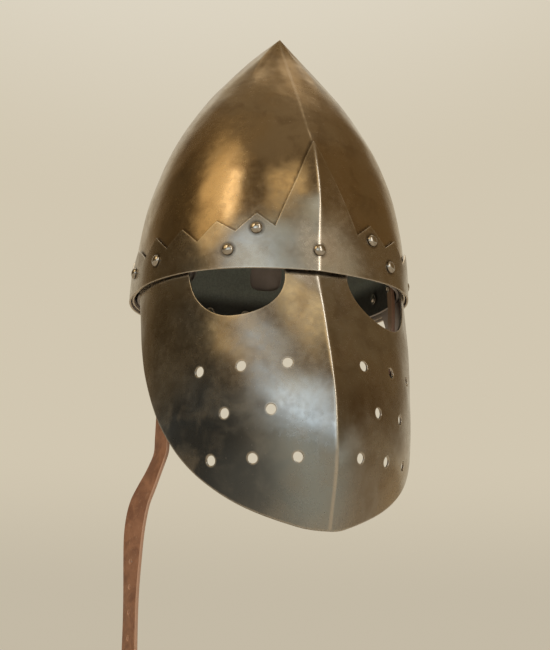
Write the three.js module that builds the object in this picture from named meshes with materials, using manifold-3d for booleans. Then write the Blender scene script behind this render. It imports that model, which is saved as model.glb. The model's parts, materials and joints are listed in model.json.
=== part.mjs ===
// A pointed riveted helmet with a dagged brow band and a creased face plate, built sheet by sheet.
// Millimetres, +Z up. The face looks along -Y and +X is on the wearer's left. The origin is the
// centre of the brow rim, the flat loop at the bottom of the brow band.

import * as THREE from 'three';
import { mergeVertices } from 'three/addons/utils/BufferGeometryUtils.js';
import Module from 'manifold-3d';

const wasm = await Module();
wasm.setup();

// Skull: its outer half sizes at the rim and its height
const skullHalfWidth = 104;
const skullHalfLength = 114;
const skullHeight = 216.5;
const skullRimRecess = 1.5;
// How square the plan is, and how each side curves in towards the point
const planPower = 2.27;
const sidePower = 2.54;
const frontPower = 2.12;
const rearPower = 1.82;
const sideFullnessShare = -0.087;
const frontFullnessShare = 0.022;
const rearFullnessShare = -0.075;
// The point leans forward over its last few millimetres
const tipLean = 15;
const tipLeanPower = 10;
// The crease down the middle of the front: its height at the rim and at the chin, and its width
const rimKeel = 2.5;
const chinKeel = 12.8;
const keelWidth = 13.5;

// How fast the point of an inner form drops as the form moves in
const pointDropRatio = 1.5;

// Sheets, leather and the play between neighbours
const skullSheet = 1.6;
const bandSheet = 1.5;
const plateSheet = 1.8;
const linerLeather = 2.2;
const strapLeather = 2.6;
const layerGap = 0.3;
const bandPlay = 0.75;
const linerPlay = 0.95;
const facetPlay = 0.7;
const overrun = 8;
const drillLength = 44;
const drillSides = 8;

// Brow band: the tall centre triangle, the first tooth, and the even teeth round to the back
const triangleHeight = 104;
const triangleFootAngle = 15.2;
const triangleFootHeight = 31.3;
const firstToothAngle = 22.7;
const firstToothHeight = 41.4;
const secondToothHeight = 36.2;
const toothHeight = 33.6;
const firstNotchHeight = 27.4;
const notchHeight = 21.6;
const toothPitchCount = 9;
const bandSeam = 0.8;
const seamCutHeight = 120;

// Face plate: its drop below the rim, the tabs above it and the sideways set of the crease
const plateDrop = 188.3;
const plateTabHeight = 26;
const plateTabAngle = 101.4;
const outlineSteps = 30;
const askewAngle = 2.23;
// How square the plan has become at the chin
const chinPower = 1.3;

// Eye openings: angles from the front along the plate, and the depth below the rim
const eyeInnerAngle = 11.1;
const eyeOuterAngle = 54;
const eyeLowestAngle = 36;
const eyeDepth = 36;
const eyeSteps = 16;

// Breath holes
const breathRadius = 3.9;
const breathSides = 12;

// Domed rivets and the washers they are closed over
const rivetHeadRadius = 4.4;
const rivetHeadHeight = 2.7;
const rivetShankRadius = 1.6;
const rivetTailRadius = 2.7;
const rivetTailHeight = 1.1;
const washerRadius = 4.3;
const washerSheet = 0.8;
const rivetSides = 10;
const rivetRowHeight = 15.2;
const toothRivetHeight = 29.9;
const browRivetHeight = 13.7;
const templeRivetHeight = 16.8;

// Liner: leather band and tongues gathered by a lace
const linerFoot = 4;
const linerBreakHeight = 50;
const linerCrownHeight = 131;
const linerPeel = 33;
const linerPeelPower = 1.3;
const tongueCount = 9;
// Middle of one of the gaps between the tongues
const tongueGapAngle = 164;
const tongueGap = 29;
const tongueTipGap = 3;
// How square the foot of a gap is
const gapFootPower = 3.5;
const laceRadius = 1.4;
const laceDrop = 9;
const lacePlay = 0.5;
const laceSides = 6;

// Chin straps and buckle
const strapWidth = 20;
const strapStandOff = 0.9;
const strapAngle = 73;
const strapTopReach = 11;
const strapBend = 16;
const holedStrapLength = 352;
const strapHoleRadius = 1.7;
const strapHolePitch = 18;
const strapHoleCount = 6;
const lastHoleDistance = 27;
const holedStrapSwing = 20.9;
const holedStrapTurn = 13;
const strapRuns = 26;
const buckleStrapDrop = 82;
const foldBackLength = 30;
const buckleRodRadius = 1.5;
const buckleWidth = 28;
const buckleLength = 24;
const buckleCorner = 2.2;
const prongRadius = 1.1;
const prongSlotLength = 11;
const prongSlotWidth = 4;
const prongSlotDrop = 0.5;
const prongRingStart = -50;
const prongRingTurn = 290;
const buckleStrapRuns = 4;
const bendSteps = 8;
const cornerSteps = 4;
const rodSides = 8;
const prongSides = 6;
const foldShankRadius = 1.1;
const foldHeadRadius = 2.6;
const foldHeadHeight = 1.2;
const foldRivetShare = 0.72;
const narrowestEndShare = 0.2;

// Rows of [depth share, width share, set-forward share, reach share, plan share, crease share]
const plateSectionShares = [
  [0, 1, 0, 1, 0, 0],
  [0.25, 1.03, 0.029, 1.079, 0.3, 0.31],
  [0.5, 1.032, 0.044, 1.152, 0.48, 0.57],
  [0.75, 1.016, 0.052, 1.116, 0.62, 0.82],
  [1, 0.988, 0.049, 0.962, 1, 1],
];
// Crease height up the skull, as [height share, share of the rim's crease]
const skullKeelShares = [
  [0, 1], [0.1, 0.9], [0.18, 1.6], [0.27, 2.7], [0.38, 3.1], [0.48, 3],
  [0.55, 1.5], [0.65, 0.6], [0.8, 0.2], [1, 0],
];
// Side outline of the plate from the chin to the tab, as shares of [skull half length, drop]
const plateOutlineShares = [
  [-1.12, -1], [-0.99, -0.98], [-0.8, -0.902], [-0.575, -0.743], [-0.346, -0.552],
  [-0.198, -0.386], [-0.118, -0.272], [-0.015, -0.089], [0.085, 0.05], [0.15, 0.16],
];
// Rows of the brow band between its rim and its toothed edge, level with the skull's at the crease
const bandRowShares = [0, 0.125, 0.25, 0.416, 0.604, 0.812, 1];
// Breath holes on one half, as [angle, share of the drop]
const breathRowShares = [
  [17.2, 0.376], [34.6, 0.379], [51.2, 0.385], [25.4, 0.551], [42.5, 0.554],
  [16.5, 0.731], [33, 0.728], [48.4, 0.725],
];
// Rows and columns of the liner: up its band, up a gap's round foot, up to the crown, and across
const linerBandShares = [0, 0.5];
const gapFootShares = [0, 0.04, 0.15, 0.35, 0.65, 1];
const tongueShares = [0.2, 0.4, 0.6, 0.8, 1];
const tongueColumnShares = [-1, -0.5, 0, 0.5, 1];
// Path of the lace past one tongue, as [share of the tongue, side of the leather]
const laceWaveShares = [
  [0, 1], [0.14, 1], [0.25, 0], [0.36, -1], [0.5, -1], [0.64, -1], [0.75, 0], [0.86, 1],
];
// Rounded tail and head of a rivet, as [radius share, height share]
const tailShares = [[0, 1], [0.7, 0.75], [1, 0.3], [1, 0]];
const domeShares = [[1, 0], [0.87, 0.5], [0.5, 0.87], [0, 1]];
// Distances along a strap's rounded end, and the order of its section's corners
const endShares = [0, 0.1, 0.3, 0.6, 1];
const sectionCorners = [[-1, 1], [1, 1], [1, -1], [-1, -1]];
const upwards = new THREE.Vector3(0, 0, 1);
// The fold of the buckle strap above the rod, as [length share, how closed, width share]
const foldShares = [[0.25, 0, 1], [0.55, 1, 1], [0.85, 1, 1], [1, 1, 0.75]];
// The long strap's set, in rows of [share of its length, share of its outward swing, turn share]
const holedStrapShares = [
  [0, 0, 0], [0.3, 0.01, 0], [0.385, 0.03, 0], [0.42, 0.045, 0], [0.447, 0.2, 0.05],
  [0.47, 0.36, 0.2], [0.5, 0.58, 0.6], [0.53, 0.79, 0.85], [0.562, 0.91, 1], [0.6, 0.98, 0.95],
  [0.65, 1, 0.7], [0.72, 1, 0.3], [0.8, 0.98, 0.1], [1, 0.93, 0],
];
// Head of the small rivet in the fold, as [radius share, height share]
const foldHeadShares = [[1, 0], [0.8, 0.6], [0, 1]];
// How far the prong's pin runs at its stations
const pinShares = [0.3, 0.65, 1];
// Rivets on one half, as [name, angle, height]
const sideRivets = [
  ['tooth', firstToothAngle, toothRivetHeight],
  ['brow', 34.3, browRivetHeight],
  ['strap', strapAngle, rivetRowHeight],
  ['temple', 94.7, templeRivetHeight],
  ['nape', 122, rivetRowHeight],
  ['rear', 147, rivetRowHeight],
  ['seam', 173, rivetRowHeight],
];
// Heights at which the skull and the sheets beside it are divided, as shares of the skull's height
const levelShares = [0, 0.06, 0.12, 0.2, 0.29, 0.39, 0.48, 0.58, 0.69, 0.79, 0.88, 0.94, 0.98];
const frontColumnShares = [0, 0.2, 0.45, 0.72, 1];
const plateLevelShares = [0.1, 0.2, 0.3, 0.41, 0.52, 0.63, 0.74, 0.84, 0.93, 1.01];

const steel = { color: 0x8f8674, roughness: 0.34, metalness: 1 };
const darkLeather = { color: 0x23201e, roughness: 0.7, metalness: 0 };
const brownLeather = { color: 0x6b3a26, roughness: 0.65, metalness: 0 };
const laceLeather = { color: 0x4a2f20, roughness: 0.75, metalness: 0 };
const rivetSteel = { color: 0xb4ada0, roughness: 0.28, metalness: 1 };

const linerInsetFront = skullSheet + layerGap + plateSheet + linerPlay;
const linerInsetRear = skullSheet + linerPlay;
const plateInset = skullSheet + layerGap;
const halfTurn = 180;
const fullTurn = 360;
const toothPitch = (halfTurn - firstToothAngle) / toothPitchCount;
const angleStep = 1e-6;
const slopeStep = 0.5;
const weldDistance = 1e-4;

// Value of one column of a table of rows at a share, by a smooth cubic through the rows
function along(rows, share, column) {
  const last = rows.length - 1;
  const at = THREE.MathUtils.clamp(share, rows[0][0], rows[last][0]);
  let i = 0;
  while (i < last - 1 && at > rows[i + 1][0]) i += 1;
  const slope = (k) => {
    const a = rows[Math.max(k - 1, 0)];
    const b = rows[Math.min(k + 1, last)];
    return (b[column] - a[column]) / (b[0] - a[0]);
  };
  const width = rows[i + 1][0] - rows[i][0];
  const u = (at - rows[i][0]) / width;
  const rise = rows[i + 1][column] - rows[i][column];
  const early = slope(i) * width - rise;
  const late = rise - slope(i + 1) * width;
  return rows[i][column] + u * rise + u * (1 - u) * ((1 - u) * early + u * late);
}

function signedPower(value, power) {
  return Math.sign(value) * Math.abs(value) ** power;
}

function profile(rise, fullness, power) {
  return (1 - rise ** power) * (1 + fullness * rise * (1 - rise));
}

// Point of the skull's form at an angle from the front and a height, moved in by inset
function skullPoint(angle, z, inset) {
  return roundPoint(angle, z, inset, 1);
}

function roundPoint(angle, z, inset, creaseShare) {
  const turn = THREE.MathUtils.degToRad(angle);
  const side = Math.sin(turn);
  const fore = Math.cos(turn);
  const rise = Math.min(z / (skullHeight - inset * pointDropRatio), 1);
  const reachProfile = fore > 0
    ? profile(rise, frontFullnessShare, frontPower)
    : profile(rise, rearFullnessShare, rearPower);
  const x = (skullHalfWidth - inset) * profile(rise, sideFullnessShare, sidePower)
    * signedPower(side, 2 / planPower);
  const crease = creaseShare * rimKeel * along(skullKeelShares, rise, 1);
  const keel = fore > 0 ? crease * Math.exp(-Math.abs(x) / keelWidth) : 0;
  const y = -(skullHalfLength - inset) * reachProfile * signedPower(fore, 2 / planPower)
    - keel - tipLean * rise ** tipLeanPower;
  return new THREE.Vector3(x, y, z);
}

// Point of the face plate's form below the rim
function facePoint(angle, z, inset) {
  const turn = THREE.MathUtils.degToRad(angle);
  const side = Math.sin(turn);
  const fore = Math.cos(turn);
  const depth = -z / plateDrop;
  const power = planPower + (chinPower - planPower) * along(plateSectionShares, depth, 4);
  const x = (skullHalfWidth - inset) * along(plateSectionShares, depth, 1) * signedPower(side, 2 / power);
  const crease = rimKeel + (chinKeel - rimKeel) * along(plateSectionShares, depth, 5);
  const keel = fore > 0 ? crease * Math.exp(-Math.abs(x) / keelWidth) : 0;
  const y = -plateDrop * along(plateSectionShares, depth, 2) - keel
    - (skullHalfLength - inset) * along(plateSectionShares, depth, 3) * signedPower(fore, 2 / power);
  return new THREE.Vector3(x - z * Math.tan(THREE.MathUtils.degToRad(askewAngle)), y, z);
}

function formPoint(angle, z, inset) {
  return z >= 0 ? skullPoint(angle, z, inset) : facePoint(angle, z, inset);
}

// The liner follows the skull, then peels off it towards the crown
function linerInset(angle) {
  const turn = Math.abs(THREE.MathUtils.euclideanModulo(angle + halfTurn, fullTurn) - halfTurn);
  const past = THREE.MathUtils.clamp((turn - plateTabAngle) / toothPitch, 0, 1);
  return linerInsetFront + (linerInsetRear - linerInsetFront) * past;
}

function linerPoint(angle, z, inset) {
  const above = Math.max(z - linerBreakHeight, 0) / (linerCrownHeight - linerBreakHeight);
  return roundPoint(angle, z, linerInset(angle) + linerPeel * above ** linerPeelPower + inset, 0);
}

// Outward direction of a surface at an angle and a height
function outward(surface, angle, z) {
  const east = surface(angle + slopeStep, z, 0).sub(surface(angle - slopeStep, z, 0));
  const up = surface(angle, z + slopeStep, 0).sub(surface(angle, z - slopeStep, 0));
  return east.cross(up).normalize();
}

function geometryFrom(positions, indices) {
  const geometry = new THREE.BufferGeometry();
  geometry.setAttribute('position', new THREE.Float32BufferAttribute(positions, 3));
  geometry.setIndex(indices);
  return geometry;
}

function toSolid(geometry) {
  const bare = geometry.clone();
  bare.deleteAttribute('normal');
  bare.deleteAttribute('uv');
  const merged = mergeVertices(bare, weldDistance);
  return new wasm.Manifold(new wasm.Mesh({
    numProp: 3,
    vertProperties: new Float32Array(merged.attributes.position.array),
    triVerts: new Uint32Array(merged.index.array),
  }));
}

function toGeometry(solid) {
  const mesh = solid.getMesh();
  return geometryFrom(Array.from(mesh.vertProperties), Array.from(mesh.triVerts));
}

// Closed sheet made of panels, each between an outer and an inner grid of points. rows[i][j] runs up
// with i and round with j, and sideFrom is the row above which the panel's two sides are its own
// edges. A sheet with peaks closes to a point above its last row.
function sheetSolid(panels, peaks) {
  const positions = [];
  const indices = [];
  const quad = (a, b, c, d) => indices.push(a, b, c, a, c, d);
  panels.forEach(({ outer, inner, sideFrom }) => {
    const first = positions.length / 3;
    const rowCount = outer.length;
    const columnCount = outer[0].length;
    [outer, inner].flat(2).forEach((p) => positions.push(p.x, p.y, p.z));
    const at = (grid, i, j) => first + (grid * rowCount + i) * columnCount + j;
    const top = rowCount - 1;
    const spans = columnCount - 1;
    for (let i = 0; i < top; i += 1) {
      for (let j = 0; j < spans; j += 1) {
        quad(at(0, i, j), at(0, i, j + 1), at(0, i + 1, j + 1), at(0, i + 1, j));
        quad(at(1, i, j), at(1, i + 1, j), at(1, i + 1, j + 1), at(1, i, j + 1));
      }
      if (i >= sideFrom) {
        quad(at(0, i, 0), at(0, i + 1, 0), at(1, i + 1, 0), at(1, i, 0));
        quad(at(0, i, spans), at(1, i, spans), at(1, i + 1, spans), at(0, i + 1, spans));
      }
    }
    for (let j = 0; j < spans; j += 1) {
      quad(at(0, 0, j), at(1, 0, j), at(1, 0, j + 1), at(0, 0, j + 1));
      if (!peaks) quad(at(0, top, j), at(0, top, j + 1), at(1, top, j + 1), at(1, top, j));
    }
    if (peaks) {
      const peak = positions.length / 3;
      peaks.forEach((p) => positions.push(p.x, p.y, p.z));
      for (let j = 0; j < spans; j += 1) {
        indices.push(at(0, top, j), at(0, top, j + 1), peak);
        indices.push(at(1, top, j + 1), at(1, top, j), peak + 1);
      }
    }
  });
  return toSolid(geometryFrom(positions, indices));
}

function panelOn(surface, angles, heights, insets, sideFrom) {
  const [outer, inner] = insets.map((inset) => gridOn(surface, angles, heights, inset));
  return { outer, inner, sideFrom };
}

function gridOn(surface, angles, heights, inset) {
  return heights.map((z) => angles.map((angle) => surface(angle, z, inset)));
}

// Convex prism through a surface: the outline's [angle, height] points carried out and in
function prismThrough(surface, outline, out, inn) {
  const middle = [0, 1].map((k) => outline.reduce((sum, p) => sum + p[k], 0) / outline.length);
  const positions = [];
  const indices = [];
  [-out, inn].forEach((inset) => {
    [...outline, middle].forEach(([angle, z]) => positions.push(...surface(angle, z, inset).toArray()));
  });
  const n = outline.length;
  for (let i = 0; i < n; i += 1) {
    const next = (i + 1) % n;
    indices.push(i, next, n);
    indices.push(n + 1 + next, n + 1 + i, 2 * n + 1);
    indices.push(i, n + 1 + i, next, next, n + 1 + i, n + 1 + next);
  }
  return toSolid(geometryFrom(positions, indices));
}

// Drill centred on a point, long enough to pass through every sheet there
function drillAt(point, direction, radius, sides) {
  const rod = new THREE.CylinderGeometry(radius, radius, drillLength, sides);
  rod.applyQuaternion(new THREE.Quaternion().setFromUnitVectors(new THREE.Vector3(0, 1, 0), direction));
  rod.translate(point.x, point.y, point.z);
  return toSolid(rod);
}

function bothHands(half) {
  return [...half.slice(1).reverse().map((angle) => -angle), ...half];
}

// Columns round the head: close together over the creased front, then two to a tooth
const frontColumns = frontColumnShares.map((share) => share * triangleFootAngle);
const halfPitches = Array.from({ length: 2 * toothPitchCount + 1 }, (_, i) => i / 2);
const toothColumns = halfPitches.map((pitches) => firstToothAngle + pitches * toothPitch);
const halfColumns = [...frontColumns, (triangleFootAngle + firstToothAngle) / 2, ...toothColumns];
const allColumns = bothHands(halfColumns);
const plateColumns = bothHands(halfColumns.filter((angle) => angle <= plateTabAngle));

const skullLevels = levelShares.map((share) => share * skullHeight);

function makeSkull() {
  const heights = [skullRimRecess, ...skullLevels.slice(1)];
  const innerHeight = skullHeight - skullSheet * pointDropRatio;
  const peaks = [skullPoint(0, skullHeight, 0), skullPoint(0, innerHeight, skullSheet)];
  return sheetSolid([panelOn(skullPoint, allColumns, heights, [0, skullSheet], heights.length)], peaks);
}

// Height of the band's toothed edge at an angle
function bandEdge(angle) {
  const turn = Math.abs(angle);
  const corners = [
    [0, triangleHeight], [triangleFootAngle, triangleFootHeight], [firstToothAngle, firstToothHeight],
  ];
  for (let i = 1; i <= 2 * toothPitchCount; i += 1) {
    const peak = i === 2 ? secondToothHeight : toothHeight;
    const notch = i === 1 ? firstNotchHeight : notchHeight;
    corners.push([firstToothAngle + i * toothPitch / 2, i % 2 === 0 ? peak : notch]);
  }
  const k = Math.max(corners.findIndex((corner) => corner[0] >= turn), 1);
  const share = (turn - corners[k - 1][0]) / (corners[k][0] - corners[k - 1][0]);
  return THREE.MathUtils.lerp(corners[k - 1][1], corners[k][1], Math.min(share, 1));
}

function makeBand() {
  const [outer, inner] = [-bandPlay - bandSheet, -bandPlay].map((inset) => bandRowShares.map(
    (share) => allColumns.map((angle) => skullPoint(angle, share * bandEdge(angle), inset)),
  ));
  const seam = new THREE.BoxGeometry(bandSeam, skullHalfLength, seamCutHeight);
  seam.translate(0, skullHalfLength, 0);
  return sheetSolid([{ outer, inner, sideFrom: outer.length }]).subtract(toSolid(seam));
}

// Flat outline in the YZ plane carried across the helmet
function sidePrism(points, halfWidth) {
  const shape = new THREE.Shape(points);
  const solid = new THREE.ExtrudeGeometry(shape, { depth: 2 * halfWidth, bevelEnabled: false });
  solid.translate(0, 0, -halfWidth);
  solid.applyMatrix4(new THREE.Matrix4().set(0, 0, 1, 0, 1, 0, 0, 0, 0, 1, 0, 0, 0, 0, 0, 1));
  return toSolid(solid);
}

function eyeOutline(hand) {
  const outline = [];
  for (let i = 0; i <= eyeSteps; i += 1) {
    const turn = Math.PI * i / eyeSteps;
    const reach = Math.cos(turn);
    const span = reach > 0 ? eyeOuterAngle - eyeLowestAngle : eyeLowestAngle - eyeInnerAngle;
    outline.push([hand * (eyeLowestAngle + reach * span), -eyeDepth * Math.sin(turn)]);
  }
  [eyeInnerAngle, (eyeInnerAngle + eyeOuterAngle) / 2, eyeOuterAngle].forEach((angle) => {
    outline.push([hand * angle, plateTabHeight + overrun]);
  });
  return hand > 0 ? outline.reverse() : outline;
}

function breathHoles() {
  const holes = [];
  [-1, 1].forEach((hand) => breathRowShares.forEach(([angle, share]) => {
    const flat = facePoint(hand * angle, -share * plateDrop, plateInset);
    const z = flat.z + Math.tan(THREE.MathUtils.degToRad(askewAngle)) * hand * Math.abs(flat.x);
    holes.push([hand * angle, z]);
  }));
  return holes;
}

function makePlate() {
  const heights = [
    ...plateLevelShares.map((share) => -share * plateDrop).reverse(),
    ...skullLevels.filter((z) => z < plateTabHeight),
    plateTabHeight,
  ];
  const insets = [plateInset, plateInset + plateSheet];
  const sheet = sheetSolid([panelOn(formPoint, plateColumns, heights, insets, 0)]);
  const curve = new THREE.SplineCurve(plateOutlineShares.map(
    ([reach, rise]) => new THREE.Vector2(reach * skullHalfLength, rise * plateDrop),
  ));
  const far = 2 * skullHalfLength;
  const outline = [
    new THREE.Vector2(-far, -plateDrop),
    ...curve.getPoints(outlineSteps),
    new THREE.Vector2(plateOutlineShares.at(-1)[0] * skullHalfLength, far),
    new THREE.Vector2(-far, far),
  ];
  let plate = sheet.intersect(sidePrism(outline, 2 * skullHalfWidth));
  [-1, 1].forEach((hand) => {
    plate = plate.subtract(prismThrough(formPoint, eyeOutline(hand), overrun, overrun + plateInset));
  });
  breathHoles().forEach(([angle, z]) => {
    const direction = outward(formPoint, angle, z);
    plate = plate.subtract(drillAt(formPoint(angle, z, plateInset), direction, breathRadius, breathSides));
  });
  return plate;
}

// Angle after a number of tongues from the first gap
function tongueAngle(count) {
  return tongueGapAngle + fullTurn * count / tongueCount;
}

// Half the angle a tongue spans at a height: all of its share below the gaps, which start round
function tongueHalfAngle(z) {
  const share = halfTurn / tongueCount;
  const footRadius = tongueGap / 2;
  if (z <= linerBreakHeight - footRadius) return share;
  const footAngle = THREE.MathUtils.radToDeg(footRadius / skullHalfWidth);
  if (z < linerBreakHeight) {
    const below = (linerBreakHeight - z) / footRadius;
    return share - footAngle * (1 - below ** gapFootPower) ** (1 / gapFootPower);
  }
  const tipAngle = THREE.MathUtils.radToDeg(tongueTipGap / 2 / (skullHalfWidth - linerPeel));
  const up = (z - linerBreakHeight) / (linerCrownHeight - linerBreakHeight);
  return share - THREE.MathUtils.lerp(footAngle, tipAngle, up);
}

// The lace weaves in and out of the tongues, once for each
function laceSolid(radius) {
  const points = [];
  const height = linerCrownHeight - laceDrop;
  const sweep = linerLeather / 2 + laceRadius + lacePlay;
  for (let i = 0; i < tongueCount; i += 1) {
    laceWaveShares.forEach(([share, side]) => {
      const angle = tongueAngle(i + share);
      points.push(linerPoint(angle, height, linerLeather / 2)
        .addScaledVector(outward(linerPoint, angle, height), -side * sweep));
    });
  }
  return rodAlong(points, radius, laceSides, true, upwards);
}

function makeLiner() {
  const gapFoot = linerBreakHeight - tongueGap / 2;
  const low = linerBandShares.map((share) => THREE.MathUtils.lerp(linerFoot, gapFoot, share));
  const heights = [
    ...low,
    ...gapFootShares.map((share) => THREE.MathUtils.lerp(gapFoot, linerBreakHeight, share)),
    ...tongueShares.map((share) => THREE.MathUtils.lerp(linerBreakHeight, linerCrownHeight, share)),
  ];
  const panels = [];
  for (let i = 0; i < tongueCount; i += 1) {
    const centre = tongueAngle(i + 1 / 2);
    const grids = [0, linerLeather].map((inset) => heights.map((z) => tongueColumnShares.map((share) => {
      const angle = Math.round((centre + share * tongueHalfAngle(z)) / angleStep) * angleStep;
      return linerPoint(angle, z, inset);
    })));
    panels.push({ outer: grids[0], inner: grids[1], sideFrom: low.length });
  }
  return sheetSolid(panels).subtract(laceSolid(laceRadius + lacePlay));
}

function latheSolid(profilePoints, sides) {
  return toSolid(new THREE.LatheGeometry(profilePoints.map(([r, h]) => new THREE.Vector2(r, h)), sides));
}

function placed(solid, point, direction) {
  const geometry = toGeometry(solid);
  const turn = new THREE.Quaternion().setFromUnitVectors(new THREE.Vector3(0, 1, 0), direction);
  geometry.applyQuaternion(turn);
  geometry.translate(point.x, point.y, point.z);
  return geometry;
}

// Rivet about +Y with its head's foot at zero and its stack of sheets below
function rivetProfile(stack) {
  const foot = -stack - washerSheet - 2 * layerGap;
  const tail = tailShares.map(([r, h]) => [rivetTailRadius * r, foot - rivetTailHeight * h]);
  const dome = domeShares.map(([r, h]) => [rivetHeadRadius * r, rivetHeadHeight * h]);
  return [...tail, [rivetShankRadius, foot], [rivetShankRadius, 0], ...dome];
}

function washerProfile(stack) {
  const top = -stack - layerGap;
  const bore = rivetShankRadius + layerGap;
  const bottom = top - washerSheet;
  return [[bore, bottom], [washerRadius, bottom], [washerRadius, top], [bore, top], [bore, bottom]];
}

// Foot of a rivet's head, its way out, and how deep its stack of sheets and leather is
function rivetSeat(angle, z, strapped) {
  const direction = outward(skullPoint, angle, z);
  const point = skullPoint(angle, z, -bandPlay - bandSheet - layerGap);
  const leather = point.clone().sub(linerPoint(angle, z, linerLeather)).dot(direction) + facetPlay;
  return { point, direction, stack: strapped ? leather + strapStandOff + strapLeather : leather };
}

function rivetSpots() {
  const spots = [{ name: 'rivet_front', ...rivetSeat(0, rivetRowHeight, false) }];
  [[-1, 'right'], [1, 'left']].forEach(([hand, side]) => sideRivets.forEach(([name, angle, z]) => {
    spots.push({ name: `rivet_${name}_${side}`, ...rivetSeat(hand * angle, z, name === 'strap') });
  }));
  return spots;
}

// Strap laid along a curve: at each station a flat section, its width turned about the path
function strapSolid(stations, thickness) {
  const positions = [];
  const indices = [];
  stations.forEach(({ point, across, out, half }) => {
    sectionCorners.forEach(([w, t]) => {
      const p = point.clone().addScaledVector(across, w * half).addScaledVector(out, t * thickness / 2);
      positions.push(p.x, p.y, p.z);
    });
  });
  const around = sectionCorners.length;
  const end = around * (stations.length - 1);
  for (let first = 0; first < end; first += around) {
    for (let k = 0; k < around; k += 1) {
      const a = first + k;
      const b = first + (k + 1) % around;
      indices.push(a, b, b + around, a, b + around, a + around);
    }
  }
  indices.push(0, 2, 1, 0, 3, 2);
  indices.push(end, end + 1, end + 2, end, end + 2, end + 3);
  return toSolid(geometryFrom(positions, indices));
}

// Frame of a strap at its rivet. It lies flat there, then hangs plumb from a little below.
function strapSeat(hand) {
  const { point, direction: out, stack } = rivetSeat(hand * strapAngle, rivetRowHeight, true);
  const pivot = point.clone().addScaledVector(out, strapLeather / 2 - stack);
  const level = new THREE.Vector3(out.x, out.y, 0).normalize();
  const plumb = new THREE.Vector3(0, 0, -1);
  const across = plumb.clone().cross(level);
  const down = across.clone().cross(out).negate();
  const hang = (distance) => pivot.clone()
    .addScaledVector(down, Math.min(distance, strapBend))
    .addScaledVector(plumb, Math.max(distance - strapBend, 0));
  return { pivot, out, level, plumb, across, hang };
}

// Half width of a strap near a rounded end, by the distance from that end
function roundedHalf(distance) {
  const u = Math.min(2 * distance / strapWidth, 1);
  return strapWidth / 2 * Math.max(Math.sqrt(1 - (1 - u) ** 2), narrowestEndShare);
}

function makeHoledStrap() {
  const { pivot, out, level, hang } = strapSeat(-1);
  const length = holedStrapLength - strapTopReach;
  const shareAt = (distance) => Math.max(distance, 0) / length;
  const pointAt = (distance) => hang(distance)
    .addScaledVector(level, holedStrapSwing * along(holedStrapShares, shareAt(distance), 1));
  const reach = strapWidth / 2;
  const distances = endShares.map((share) => share * reach - strapTopReach);
  for (let k = 1; k < strapRuns; k += 1) distances.push(length * k / strapRuns);
  endShares.forEach((share) => distances.push(length - (1 - share) * reach));
  const stationAt = (distance) => {
    const ahead = pointAt(distance + slopeStep).sub(pointAt(distance - slopeStep)).normalize();
    const turn = THREE.MathUtils.degToRad(holedStrapTurn * along(holedStrapShares, shareAt(distance), 2));
    const face = (distance < strapBend ? out : level).clone().applyAxisAngle(upwards, turn);
    const across = ahead.clone().cross(face).normalize();
    const half = Math.min(roundedHalf(distance + strapTopReach), roundedHalf(length - distance));
    return { point: pointAt(distance), across, out: across.clone().cross(ahead).normalize(), half };
  };
  const stations = distances.sort((a, b) => a - b).map(stationAt);
  let strap = strapSolid(stations, strapLeather);
  for (let k = 0; k < strapHoleCount; k += 1) {
    const distance = length - lastHoleDistance - strapHolePitch * k;
    const seat = stationAt(distance);
    strap = strap.subtract(drillAt(seat.point, seat.out, strapHoleRadius, drillSides));
  }
  return strap.subtract(drillAt(pivot, out, rivetShankRadius + layerGap, drillSides));
}

// Buckle strap: down from the rivet, round the buckle's rod and back up on its inner side
function buckleSeat() {
  const seat = strapSeat(1);
  const turnRadius = buckleRodRadius + layerGap + strapLeather / 2;
  const rodCentre = seat.hang(buckleStrapDrop).addScaledVector(seat.level, -turnRadius);
  return { ...seat, turnRadius, rodCentre };
}

function makeBuckleStrap() {
  const { pivot, out, level, plumb, across, hang, turnRadius, rodCentre } = buckleSeat();
  const reach = strapWidth / 2;
  const stations = endShares.map((share) => ({
    point: hang(share * reach - strapTopReach), across, out, half: roundedHalf(share * reach),
  }));
  for (let k = 0; k <= buckleStrapRuns; k += 1) {
    const distance = THREE.MathUtils.lerp(strapBend, buckleStrapDrop, k / buckleStrapRuns);
    stations.push({ point: hang(distance), across, out: level, half: reach });
  }
  for (let k = 1; k <= bendSteps; k += 1) {
    const turn = Math.PI * k / bendSteps;
    const face = level.clone().multiplyScalar(Math.cos(turn)).addScaledVector(plumb, Math.sin(turn));
    const point = rodCentre.clone().addScaledVector(face, turnRadius);
    stations.push({ point, across, out: face, half: reach });
  }
  const inner = level.clone().negate();
  const foldInset = 2 * turnRadius - strapLeather - layerGap;
  foldShares.forEach(([share, closed, width]) => {
    const point = rodCentre.clone().addScaledVector(inner, turnRadius - closed * foldInset)
      .addScaledVector(plumb, -foldBackLength * share);
    stations.push({ point, across, out: inner, half: reach * width });
  });
  let strap = strapSolid(stations, strapLeather);
  const slotDepth = 2 * turnRadius + strapLeather + overrun;
  const slot = new THREE.BoxGeometry(slotDepth, prongSlotWidth, prongSlotLength);
  slot.translate(0, 0, prongSlotDrop);
  slot.applyMatrix4(new THREE.Matrix4().makeBasis(level, across, plumb));
  slot.translate(rodCentre.x, rodCentre.y, rodCentre.z);
  strap = strap.subtract(toSolid(slot));
  strap = strap.subtract(drillAt(pivot, out, rivetShankRadius + layerGap, drillSides));
  const fold = foldRivetSpot();
  return strap.subtract(drillAt(fold.point, fold.direction, foldShankRadius + layerGap, drillSides));
}

// Small rivet that closes the fold of the buckle strap
function foldRivetSpot() {
  const { level, hang } = buckleSeat();
  const point = hang(buckleStrapDrop - foldBackLength * foldRivetShare);
  return { point: point.addScaledVector(level, strapLeather / 2 + layerGap), direction: level };
}

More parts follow.
